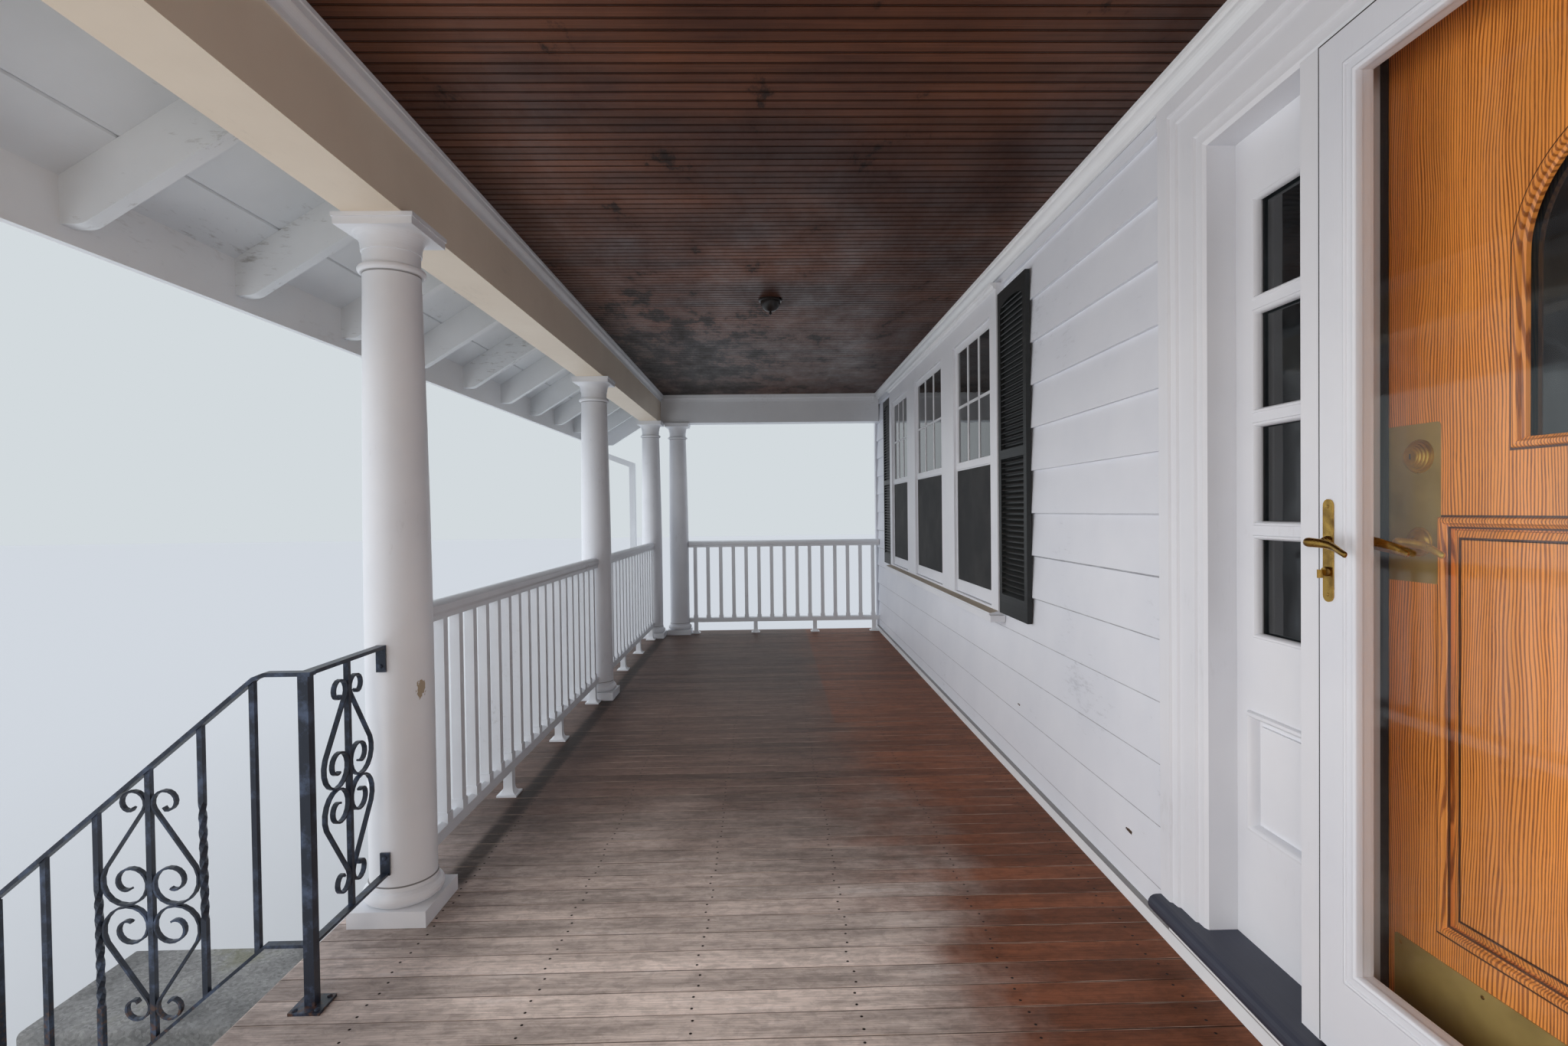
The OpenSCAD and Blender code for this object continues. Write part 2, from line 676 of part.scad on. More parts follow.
module window_screens() {
    z0 = floor_z + window_z0 + screen_foot;
    color("#26272a") both_sides() translate([window_x, 0, 0]) for (s = window_spans())
        block(s[0] + screen_w, s[1] - screen_w, screen_y + 5, screen_y + 7, z0, screen_top - screen_w);
}
// A shutter: stiles, three rails and tilted slats between them.
shutter_z0 = 715;
shutter_z1 = 2190;
module shutter() {
    stile = 52;
    rails = [[shutter_z0, shutter_z0 + 110], [1440, 1490], [shutter_z1 - 90, shutter_z1]];
    t = 34;
    y0 = -42;
    slat_step = 25;
    slat_w = 30;
    slat_t = 6;
    lean = 40;
    for (x = [0, shutter_w - stile])
        block(x, x + stile, y0, y0 + t, floor_z + shutter_z0, floor_z + shutter_z1);
    for (r = rails) block(stile - 1, shutter_w - stile + 1, y0, y0 + t, floor_z + r[0], floor_z + r[1]);
    for (k = [0:1]) {
        a = rails[k][1];
        b = rails[k + 1][0];
        n = floor((b - a) / slat_step);
        for (i = [0:n - 1]) translate([stile - 1, y0 + t / 2, floor_z + a + (i + 0.5) * (b - a) / n])
            rotate([lean, 0, 0]) translate([0, -slat_w / 2, -slat_t / 2])
                cube([shutter_w - 2 * stile + 2, slat_w, slat_t]);
    }
}
module shutters() {
    edge = window_half + window_case + 8;
    color("#232527") both_sides() {
        translate([window_x - edge - shutter_w, 0, 0]) shutter();
        translate([window_x + edge, 0, 0]) shutter();
    }
}

// Doors
gap = 6;
leaf_y0 = 98;
leaf_y1 = 142;
leaf_z0 = floor_z + sill_z + 8;
leaf_z1 = floor_z + head_z - gap;
leaf_half = door_w / 2 - 7;
storm_y0 = -34;
storm_y1 = -2;
storm_z0 = floor_z + sill_z + gap;
storm_z1 = floor_z + head_z - gap;
storm_half = door_w / 2 - gap;
storm_stile = 92;
storm_foot = 180;
lever_x = -428;
lever_z = floor_z + 1128;
hinge_z = [230, 980, 1730]; // middles of the three hinges above the sill
barrel_h = 90;
// Hinge barrels on a line at (x, y).
module hinges(x, y, d) {
    for (z = hinge_z)
        translate([x, y, floor_z + sill_z + z - barrel_h / 2]) cylinder(d = d, h = barrel_h, $fn = 32);
}
storm_hinge = [door_w / 2 - 4, storm_y0 - 2];
leaf_hinge = [door_w / 2 - 5, leaf_y1 + 2];
module storm_door() {
    color("#ebebe9") hinges(storm_hinge[0], storm_hinge[1], 11);
    color("#ebebe9") difference() {
        block(-storm_half, storm_half, storm_y0, storm_y1, storm_z0, storm_z1);
        block(-storm_half + storm_stile, storm_half - storm_stile, storm_y0 - 1, storm_y1 + 1,
            storm_z0 + storm_foot, storm_z1 - storm_stile);
        spindle_hole();
    }
}
module spindle_hole() {
    translate([lever_x, storm_y0 - 10, lever_z]) rotate([-90, 0, 0]) cylinder(d = 16, h = 60, $fn = 32);
}
// A long plate with round ends on each face of the stile.
module storm_plates() {
    w = 26;
    reach = 85;
    t = 3;
    color("#a8873a") for (y = [storm_y0 - t, storm_y1]) difference() {
        translate([lever_x, y, lever_z - 17]) {
            translate([-w / 2, 0, -reach]) cube([w, t, 2 * reach]);
            for (z = [-reach, reach]) translate([0, 0, z]) rotate([-90, 0, 0])
                cylinder(d = w, h = t, $fn = 48);
        }
        spindle_hole();
    }
}
module storm_pane() {
    x = storm_half - storm_stile;
    color([0.8, 0.86, 0.87, 0.25])
        block(-x, x, storm_y0 + 12, storm_y0 + 17, storm_z0 + storm_foot, storm_z1 - storm_stile);
}
arm_reach = 108;
arm_t = 12;
// One curved lever arm, in the plane of the door, from its pivot at the origin towards +X.
module lever_arm() {
    n = 8;
    middle = [for (i = [0:n]) let (s = i / n) [s * arm_reach, 7 * sin(180 * s) - 9 * s]];
    half = [for (i = [0:n]) [0, 8 - 3 * i / n]];
    outline = concat([for (i = [0:n]) middle[i] + half[i]], [for (i = [n:-1:0]) middle[i] - half[i]]);
    linear_extrude(height = arm_t) union() { polygon(outline); circle(d = 22, $fn = 32); }
}
module storm_lever() {
    out = 54;              // the spindle's outer end, in front of the leaf
    inn = 34;              // and its inner end, behind the leaf
    color("#a98335") translate([lever_x, 0, lever_z]) {
        translate([0, storm_y0 - out, 0]) rotate([-90, 0, 0])
            cylinder(d = 12, h = out + storm_y1 - storm_y0 + inn, $fn = 32);
        translate([0, storm_y0 - out + 10, 0]) rotate([90, 0, 0]) lever_arm();
        translate([0, storm_y1 + inn, 0]) rotate([90, 0, 0]) lever_arm();
    }
}
arch_z = 1290;             // foot of the arched lite above the floor
arch_h = 300;              // straight part of its sides
arch_r = 200;
// A slab with the arched lite's outline, from y and t thick.
module arched(y, t) {
    translate([0, y, floor_z + arch_z]) {
        translate([-arch_r, 0, 0]) cube([2 * arch_r, t, arch_h]);
        translate([0, 0, arch_h]) rotate([-90, 0, 0]) cylinder(r = arch_r, h = t, $fn = 48);
    }
}
oak_stile = 118;
oak_panel = [430, 1170];   // foot and top of the sunk panel above the floor
oak_field = 34;            // sunk border round the panel's raised field
module inner_door() {
    x = leaf_half - oak_stile;
    z0 = floor_z + oak_panel[0];
    z1 = floor_z + oak_panel[1];
    color("#b5701f") difference() {
        block(-leaf_half, leaf_half, leaf_y0, leaf_y1, leaf_z0, leaf_z1);
        arched(leaf_y0 - 1, leaf_y1 - leaf_y0 + 2);
        block(-x, x, leaf_y0 - 1, leaf_y0 + 12, z0, z1);
    }
    color("#b5701f") hinges(leaf_hinge[0], leaf_hinge[1], 9);
    color("#b5701f") block(-x + oak_field, x - oak_field, leaf_y0 + 4, leaf_y0 + 13,
        z0 + oak_field, z1 - oak_field);
}
module inner_pane() { color([0.3, 0.32, 0.33, 0.4]) arched(leaf_y0 + 18, 6); }
lock_x = -377;
bolt_z = 1285;             // deadbolt above the floor
kick_h = 210;              // plate at the door's foot
// Turns an outline about the lock's axis at height z.
module at_lock(z) { translate([lock_x, leaf_y0, z]) rotate([90, 0, 0]) rotate_extrude($fn = 48) children(); }
module inner_brass() {
    stem = 48;
    rose = [[0, 0], [27, 0], [27, 4], [20, 9], [6.5, 9], [6.5, stem], [0, stem]];
    bolt = [[0, 0], [31, 0], [31, 6], [26, 8], [26, 14], [22, 16], [22, 20], [0, 20]];
    color("#c09a45") {
        at_lock(lever_z) polygon(rose);
        translate([lock_x, leaf_y0 - stem + 6, lever_z]) rotate([90, 0, 0]) lever_arm();
        at_lock(floor_z + bolt_z) polygon(bolt);
        block(-leaf_half + 20, leaf_half - 20, leaf_y0 - 2, leaf_y0, leaf_z0 + 12, leaf_z0 + 12 + kick_h);
    }
}

// Wrought iron stair railings, drawn for the +X side
iron_y = -2235;
bar_w = 13;
post_side = 25;
bar_step = 127;
foot_y = iron_y - 6 * bar_step;
rake_k = rise / going;
bend_y = iron_y - 108;
low_h = 157;               // top of the lower rail above the floor
top_t = 10;
low_t = 8;
// Middle lines of the two rails above the floor at distance y
function rail_z(y) = iron_h - top_t / 2 + min(y - bend_y, 0) * rake_k;
function low_z(y) = low_h - low_t / 2 + min(y - bend_y, 0) * rake_k;
// Upright half thickness of a raking rail
function strip_rise(t) = t / 2 * norm([1, rake_k]);
module square_bar(x, y, z0, z1, w = bar_w) {
    h = w / 2;
    block(x - h, x + h, y - h, y + h, z0, z1);
}
module twisted_bar(x, y, z0, z1) {
    w = bar_w;
    a = z0 + (z1 - z0) * 0.28;
    b = z0 + (z1 - z0) * 0.72;
    square_bar(x, y, z0, a + 1);
    square_bar(x, y, b - 1, z1);
    translate([x, y, a]) linear_extrude(height = b - a, twist = 720, slices = 28, segments = 4)
        square(w, center = true);
}
module strip(path, x, w, t) {
    translate([x - w / 2, 0, 0]) rotate([90, 0, 90]) linear_extrude(height = w) polygon(band(path, t / 2));
}
// Top of the tread under distance y.
function tread_z(y) = deck_h - (floor((stair_y1 - y) / going) + 1) * rise;
module iron_frame() {
    x = iron_x;
    base = floor_z;
    tread = tread_z(foot_y);
    tip = foot_y - 20;
    top = [[iron_y + 18, base + rail_z(iron_y)], [bend_y + 14, base + rail_z(iron_y)],
        [bend_y - 12, base + rail_z(bend_y - 12)], [tip, base + rail_z(tip)],
        [tip - 50, base + rail_z(tip) - 30], [tip - 72, base + rail_z(tip) - 64]];
    low = [[iron_y, base + low_z(iron_y)], [bend_y, base + low_z(bend_y)], [foot_y, base + low_z(foot_y)]];
    plate = 38;
    strip(top, x, 26, top_t);
    strip(low, x, 20, low_t);
    square_bar(x, iron_y, base, base + rail_z(iron_y), post_side);
    square_bar(x, foot_y, tread, base + rail_z(foot_y), post_side);
    block(x - plate, x + plate, iron_y - plate, iron_y + plate, base, base + 7);
    block(x - plate, x + plate, foot_y - plate, foot_y + plate, tread, tread + 7);
    for (k = [1, 5]) let (y = iron_y - k * bar_step) square_bar(x, y, base + low_z(y), base + rail_z(y));
    for (k = [2, 4]) let (y = iron_y - k * bar_step) twisted_bar(x, y, base + low_z(y), base + rail_z(y));
    stub(base + iron_h, top_t, 13, -68);
    stub(base + low_h, low_t, 10, 58);
}
// A level rail from the post to the column, with its top at z, and the tab that is bolted to the column.
module stub(z, t, half, tab) {
    face = col_x[0] - shaft_d / 2;
    block(iron_x, face, iron_y - half, iron_y + half, z - t, z);
    block(face - 6, face, iron_y - 14, iron_y + 14, z - t + min(tab, 0), z + max(tab, 0));
}
module iron_rails() { color("#23272e") both_sides() iron_frame(); }
// Scrolls of flat bar: two hearts tip to tip on a middle bar.
scroll_t = 5;
scroll_w = 12;
scroll_h = 280;            // one heart, from the middle of the panel to the top of its curls
scroll_reach = 115;        // outermost point of the flat bar's middle line
// Points on a spiral about c. Its radius goes from r0 to r1 as the angle goes from a0 to a1: evenly with
// k = 1, and late with a larger k.
function spiral(c, r0, r1, a0, a1, n, k = 1) = [for (i = [0:n]) let (t = i / n, a = a0 + (a1 - a0) * t,
    r = r0 + (r1 - r0) * pow(t, k)) c + r * [cos(a), sin(a)]];
// Half a heart, standing on the middle of the panel: volute, straight flank and outward curl.
function half_heart() = let (
    touch = bar_w / 2 + scroll_t / 2 - 0.5,
    fall = 0.1,                                    // loss of radius for each degree
    r_out = (scroll_reach - touch + 180 * fall) / 2,
    c = [scroll_reach - r_out, r_out - 90 * fall + scroll_t / 2 - 0.2],
    curl_r = 32,
    neck = [touch + 4.5, scroll_h - 46],
    v = neck - c,
    a0 = atan2(v[1], v[0]) - acos(r_out / norm(v)),  // where the flank leaves the volute
    eye = -470)
    concat(spiral(neck + curl_r * [cos(a0), sin(a0)], 12, curl_r, -110, 180 + a0, 14, 0.4),
        spiral(c, r_out + fall * a0, r_out + fall * eye, a0, eye, 26));
module scroll_panel() {
    for (sx = [0, 1], sy = [0, 1]) mirror([sx, 0, 0]) mirror([0, sy, 0]) translate([0, 0, -scroll_w / 2])
        linear_extrude(height = scroll_w) polygon(band(half_heart(), scroll_t / 2));
}
// A scroll panel and its middle bar, between the lower rail's top and the top rail's underside.
module iron_scrolls() {
    y = iron_y - 3 * bar_step;
    mid = floor_z + (rail_z(y) + low_z(y)) / 2;
    stub_x = (iron_x + col_x[0] - shaft_d / 2) / 2;
    level = floor_z + (iron_h + low_h) / 2;
    h = bar_w / 2;
    lean = h * rake_k;
    low = floor_z + low_z(y) + strip_rise(low_t);
    high = floor_z + rail_z(y) - strip_rise(top_t);
    color("#23272e") both_sides() {
        translate([iron_x, y, mid]) rotate([90, 0, 90]) scroll_panel();
        along_x(iron_x - h, iron_x + h, [[y - h, low - lean], [y + h, low + lean], [y + h, high + lean],
            [y - h, high - lean]]);
        translate([stub_x, iron_y, level]) rotate([90, 0, 0]) scroll_panel();
        square_bar(stub_x, iron_y, floor_z + low_h, floor_z + iron_h - top_t);
    }
}

in_frame() foundation();
in_frame() steps();
in_frame() cheek_walls();
in_frame() floor_frame();
in_frame() porch_floor();
in_frame() column_bases();
in_frame() column_shafts();
in_frame() column_capitals();
in_frame() front_railings();
in_frame() end_railings();
in_frame() front_beam();
in_frame() end_beams();
in_frame() ceiling();
in_frame() ceiling_moulding();
in_frame() ceiling_lights();
in_frame() rafters();
in_frame() roof_boards();
in_frame() roof_covering();
in_frame() fascia();
in_frame() gutter();
in_frame() downspouts();
in_frame() gable_ends();
in_frame() rake_boards();
in_frame() wall_left();
in_frame() wall_right();
in_frame() wall_over_door();
in_frame() siding();
in_frame() base_trim();
in_frame() corner_boards();
in_frame() door_casing();
in_frame() door_frame();
in_frame() door_sill();
in_frame() sidelights();
in_frame() sidelight_panes();
in_frame() window_frames();
in_frame() window_sashes();
in_frame() window_panes();
in_frame() window_screens();
in_frame() shutters();
in_frame() storm_door();
in_frame() storm_pane();
in_frame() storm_plates();
in_frame() storm_lever();
in_frame() inner_door();
in_frame() inner_pane();
in_frame() inner_brass();
in_frame() iron_rails();
in_frame() iron_scrolls();
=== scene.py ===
"""Finishes and fine pieces of a columned front porch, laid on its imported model.

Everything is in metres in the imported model's frame: X runs along the porch with x = 0 at the middle of the
door, +Y goes into the house and Z is up. Each sub-assembly is a class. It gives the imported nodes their
finishes, and builds as number grids the boards, shingles, sashes, shutters, mouldings and fittings that the
solids leave plain.
"""

import logging
import math
from dataclasses import dataclass
from enum import Enum
from functools import cached_property, partial, partialmethod

import bpy
import numpy as np
from mathutils import Matrix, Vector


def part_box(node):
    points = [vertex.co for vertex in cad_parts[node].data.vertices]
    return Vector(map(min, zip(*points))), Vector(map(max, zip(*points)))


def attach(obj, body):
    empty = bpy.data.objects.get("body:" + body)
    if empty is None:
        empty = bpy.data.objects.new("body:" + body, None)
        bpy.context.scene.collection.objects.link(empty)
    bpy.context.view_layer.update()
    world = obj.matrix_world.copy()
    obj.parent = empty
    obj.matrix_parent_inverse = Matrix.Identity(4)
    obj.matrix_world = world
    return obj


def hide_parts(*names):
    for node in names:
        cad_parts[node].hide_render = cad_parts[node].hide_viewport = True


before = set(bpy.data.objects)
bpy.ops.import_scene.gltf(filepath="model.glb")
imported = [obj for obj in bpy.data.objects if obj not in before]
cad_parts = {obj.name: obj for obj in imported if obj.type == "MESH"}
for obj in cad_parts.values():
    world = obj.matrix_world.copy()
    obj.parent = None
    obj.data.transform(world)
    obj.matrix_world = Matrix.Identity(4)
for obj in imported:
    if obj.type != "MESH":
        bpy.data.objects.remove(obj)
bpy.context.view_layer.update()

log = logging.getLogger("porch")

Socket = bpy.types.NodeSocket
Vec3 = tuple[float, float, float]

MM = 0.001

# Sizes that several sub-assemblies share
SIDING_Y = 1.4725               # plane of the siding
DECK_Z = 0.760                  # top of the porch floor
CEILING_Z = 3.102               # underside of the ceiling boards
DECK_HALF = 6.7195              # half length of the porch floor
BOARD_PITCH = 88.5 * MM         # a floor or ceiling board with its joint
FLOOR_JOINT_X = 82.8 * MM       # one joint of the floor
CEILING_JOINT_X = 10.5 * MM     # one joint of the ceiling


class Axis(Enum):
    """A direction of the frame, as the number of its coordinate."""

    X = 0
    Y = 1
    Z = 2

    def stretch(self, across: float, along: float) -> Vec3:
        """Scale of a pattern that is fine across this axis and long along it.

        Args:
            across: size of the pattern across the axis, in metres.
            along: size of the pattern along the axis, in metres.

        Returns:
            The scale of a Mapping node, in patterns for each metre.
        """
        scale = [1.0 / across] * 3
        scale[self.value] = 1.0 / along
        return tuple(scale)


# Numbers to meshes

@dataclass
class Shell:
    """A mesh that is still arrays: points of shape (n, 3), and faces grouped by their number of corners."""

    points: np.ndarray
    faces: list[np.ndarray]

    def outward(self) -> "Shell":
        """Turns all faces round where the signed volume, a sum of fans from each first corner, is negative.

        Returns:
            This shell, with its faces outwards.
        """
        volume = 0.0
        for group in self.faces:
            corner = self.points[group]
            first = corner[:, :1]
            fans = np.cross(corner[:, 1:-1], corner[:, 2:])
            volume += float((first * fans).sum())
        if volume < 0:
            self.faces = [group[:, ::-1] for group in self.faces]
        return self

    @staticmethod
    def join(shells: list["Shell"]) -> "Shell":
        """Puts several shells into one, each with its corner numbers moved past those before it.

        Args:
            shells: the shells, in order.

        Returns:
            The one shell.
        """
        starts = np.cumsum([0] + [len(s.points) for s in shells[:-1]])
        faces = [group + start for s, start in zip(shells, starts) for group in s.faces]
        return Shell(np.concatenate([s.points for s in shells]), faces)


def rings(points: np.ndarray, looped: bool = False) -> Shell:
    """Joins rings of points into closed tubes.

    Quad (j, i) of tube b has corners (j, i), (j, i + 1), (j + 1, i + 1) and (j + 1, i), where i wraps round
    the ring. Without a loop the first and last ring are closed by one flat face each.

    Args:
        points: array of shape (tubes, rings, points of a ring, 3).
        looped: True where the last ring joins the first, as in a picture frame.

    Returns:
        The shell, with its faces outwards.
    """
    tubes, count, size, _ = points.shape
    index = np.arange(tubes * count * size).reshape(tubes, count, size)
    here = index if looped else index[:, :-1]
    after = np.roll(index, -1, axis=1) if looped else index[:, 1:]
    quads = np.stack([here, np.roll(here, -1, axis=2), np.roll(after, -1, axis=2), after], -1)
    faces = [quads.reshape(-1, 4)]
    if not looped:
        faces.append(np.concatenate([index[:, 0, ::-1], index[:, -1]]))
    return Shell(points.reshape(-1, 3), faces).outward()


def prisms(sections: np.ndarray, axis: Axis, low: float | np.ndarray, high: float | np.ndarray) -> Shell:
    """Draws flat outlines out along an axis: each point is repeated at low and at high.

    Args:
        sections: outlines of shape (prisms, points, 2), in the other two coordinates in the frame's order.
        axis: the direction that the prisms run in.
        low: where each prism starts along the axis.
        high: where each prism ends.

    Returns:
        One shell of all the prisms.
    """
    count, size, _ = sections.shape
    points = np.zeros((count, 2, size, 3))
    others = [k for k in range(3) if k != axis.value]
    points[..., others[0]] = sections[:, None, :, 0]
    points[..., others[1]] = sections[:, None, :, 1]
    points[:, 0, :, axis.value] = np.broadcast_to(low, count)[:, None]
    points[:, 1, :, axis.value] = np.broadcast_to(high, count)[:, None]
    return rings(points)


def turned(profile: np.ndarray, centres: np.ndarray, axis: Vec3, segments: int = 32) -> Shell:
    """Turns a profile about an axis: point (j, i) is centre + h_j axis + r_j (cos t_i side + sin t_i up).

    Args:
        profile: pairs (radius, height along the axis), from one closed end to the other.
        centres: where each copy stands, of shape (copies, 3).
        axis: unit direction of the axis.
        segments: points round each ring.

    Returns:
        One shell of all the copies.
    """
    along = np.array(axis, float)
    side = np.cross(along, [0.0, 0.0, 1.0] if abs(along[2]) < 0.9 else [1.0, 0.0, 0.0])
    side /= np.linalg.norm(side)
    up = np.cross(along, side)
    angle = np.linspace(0, 2 * np.pi, segments, endpoint=False)
    circle = np.cos(angle)[:, None] * side + np.sin(angle)[:, None] * up
    pinhole = 0.2 * MM          # a ring on the axis keeps this radius, so that its points stay apart
    radius = np.maximum(profile[:, 0], pinhole)
    one = profile[:, 1, None, None] * along + radius[:, None, None] * circle
    return rings(centres[:, None, None, :] + one)


def swept(path: np.ndarray, half: np.ndarray, up: Vec3, segments: int = 20, power: float = 2.0) -> Shell:
    """Carries a rounded section along a path: point (j, i) is path_j + a_j c_i side_j + b_j s_i lift_j.

    The section is a superellipse: c and s are the cosine and sine to the power 2 / power, with their signs.

    Args:
        path: points of the middle line, of shape (n, 3).
        half: half widths (a, b) at each point, of shape (n, 2), a across and b towards up.
        up: a direction that the section's height stays near.
        segments: points round the section.
        power: 2 for an ellipse, more for a squarer section.

    Returns:
        The closed shell.
    """
    ahead = np.gradient(path, axis=0)
    ahead /= np.linalg.norm(ahead, axis=1, keepdims=True)
    side = np.cross(ahead, np.array(up, float))
    side /= np.linalg.norm(side, axis=1, keepdims=True)
    lift = np.cross(side, ahead)
    angle = np.linspace(0, 2 * np.pi, segments, endpoint=False)
    c = np.sign(np.cos(angle)) * np.abs(np.cos(angle)) ** (2 / power)
    s = np.sign(np.sin(angle)) * np.abs(np.sin(angle)) ** (2 / power)
    across = half[:, 0, None, None] * c[:, None] * side[:, None]
    over = half[:, 1, None, None] * s[:, None] * lift[:, None]
    return rings((path[:, None] + across + over)[None])


def moulding(path: np.ndarray, profile: np.ndarray, y: float, closed: bool = True) -> Shell:
    """Runs a moulding along a path in an upright plane, mitred at its corners.

    Corner i moves out along the mean of its two edge normals, divided by one plus their product, so that the
    moulding keeps its width. Point (i, j) is path_i + out_j mitre_i, at y minus the profile's height.

    Args:
        path: (x, z) points, counter-clockwise seen from -Y.
        profile: closed outline of pairs (distance out from the path, height above the face).
        y: the face that the moulding stands on; it rises towards -Y.
        closed: False for a path whose two ends are cut square.

    Returns:
        The shell of the moulding.
    """
    edge = np.roll(path, -1, axis=0) - path
    if not closed:
        edge[-1] = edge[-2]
    edge /= np.linalg.norm(edge, axis=1, keepdims=True)
    normal = np.stack([edge[:, 1], -edge[:, 0]], -1)
    before = np.roll(normal, 1, axis=0)
    if not closed:
        before[0] = normal[0]
    mitre = (normal + before) / (1 + (normal * before).sum(1, keepdims=True))
    flat = path[:, None] + profile[None, :, :1] * mitre[:, None]
    height = np.broadcast_to(y - profile[:, 1], flat.shape[:2])
    points = np.stack([flat[..., 0], height, flat[..., 1]], -1)
    return rings(points[None], looped=closed)


def rectangle(x0: float, x1: float, z0: float, z1: float) -> np.ndarray:
    """The four corners of an upright rectangle, counter-clockwise seen from -Y.

    Args:
        x0, x1: its sides.
        z0, z1: its foot and head.

    Returns:
        The corners as (x, z) points.
    """
    return np.array([[x0, z0], [x1, z0], [x1, z1], [x0, z1]], float)


def boxes(low: np.ndarray, high: np.ndarray) -> Shell:
    """One closed box for each pair of corners.

    Args:
        low: the lower corners, of shape (n, 3).
        high: the upper corners, of shape (n, 3).

    Returns:
        One shell of all the boxes.
    """
    x0, y0 = low[:, 0], low[:, 1]
    x1, y1 = high[:, 0], high[:, 1]
    sections = np.stack([np.stack([x0, y0], -1), np.stack([x1, y0], -1), np.stack([x1, y1], -1),
                         np.stack([x0, y1], -1)], 1)
    return prisms(sections, Axis.Z, low[:, 2], high[:, 2])


def mirrored(shell: Shell) -> Shell:
    """A shell together with its mirror image across x = 0.

    Args:
        shell: the half with its own place in the frame.

    Returns:
        Both halves.
    """
    other = Shell(shell.points * [-1, 1, 1], [group[:, ::-1] for group in shell.faces])
    return Shell.join([shell, other])


def mesh_of(name: str, shell: Shell, smooth: float | None) -> bpy.types.Mesh:
    """Puts a shell's whole arrays into a Blender mesh.

    Args:
        name: the mesh's name.
        shell: points and faces.
        smooth: edges flatter than this many degrees are shaded smooth; None shades every face flat.

    Returns:
        The new mesh.
    """
    mesh = bpy.data.meshes.new(name)
    corners = np.concatenate([group.ravel() for group in shell.faces]).astype(np.int32)
    sizes = np.concatenate([np.full(len(group), group.shape[1]) for group in shell.faces])
    starts = np.concatenate([[0], np.cumsum(sizes)[:-1]]).astype(np.int32)
    mesh.vertices.add(len(shell.points))
    mesh.vertices.foreach_set("co", shell.points.astype(np.float32).ravel())
    mesh.loops.add(len(corners))
    mesh.loops.foreach_set("vertex_index", corners)
    mesh.polygons.add(len(sizes))
    mesh.polygons.foreach_set("loop_start", starts)
    mesh.polygons.foreach_set("use_smooth", np.full(len(sizes), smooth is not None))
    mesh.update(calc_edges=True)
    mesh.validate()
    if smooth is not None:
        mesh.set_sharp_from_angle(angle=math.radians(smooth))
    return mesh


# Finishes

def linear(code: str) -> tuple[float, float, float, float]:
    """Turns an sRGB colour into linear light.

    Args:
        code: the colour as #rrggbb.

    Returns:
        Linear red, green and blue, and full alpha.
    """
    parts = [int(code[i:i + 2], 16) / 255 for i in (1, 3, 5)]
    return tuple(c / 12.92 if c <= 0.04045 else ((c + 0.055) / 1.055) ** 2.4 for c in parts) + (1.0,)


MIX_A, MIX_B, MIX_OUT = 6, 7, 2      # colour sockets of a Mix node


@dataclass(frozen=True)
class Mark:
    """A chip or stain of about one size at one place, with a ragged edge."""

    centre: Vec3
    size: Vec3
    colour: str


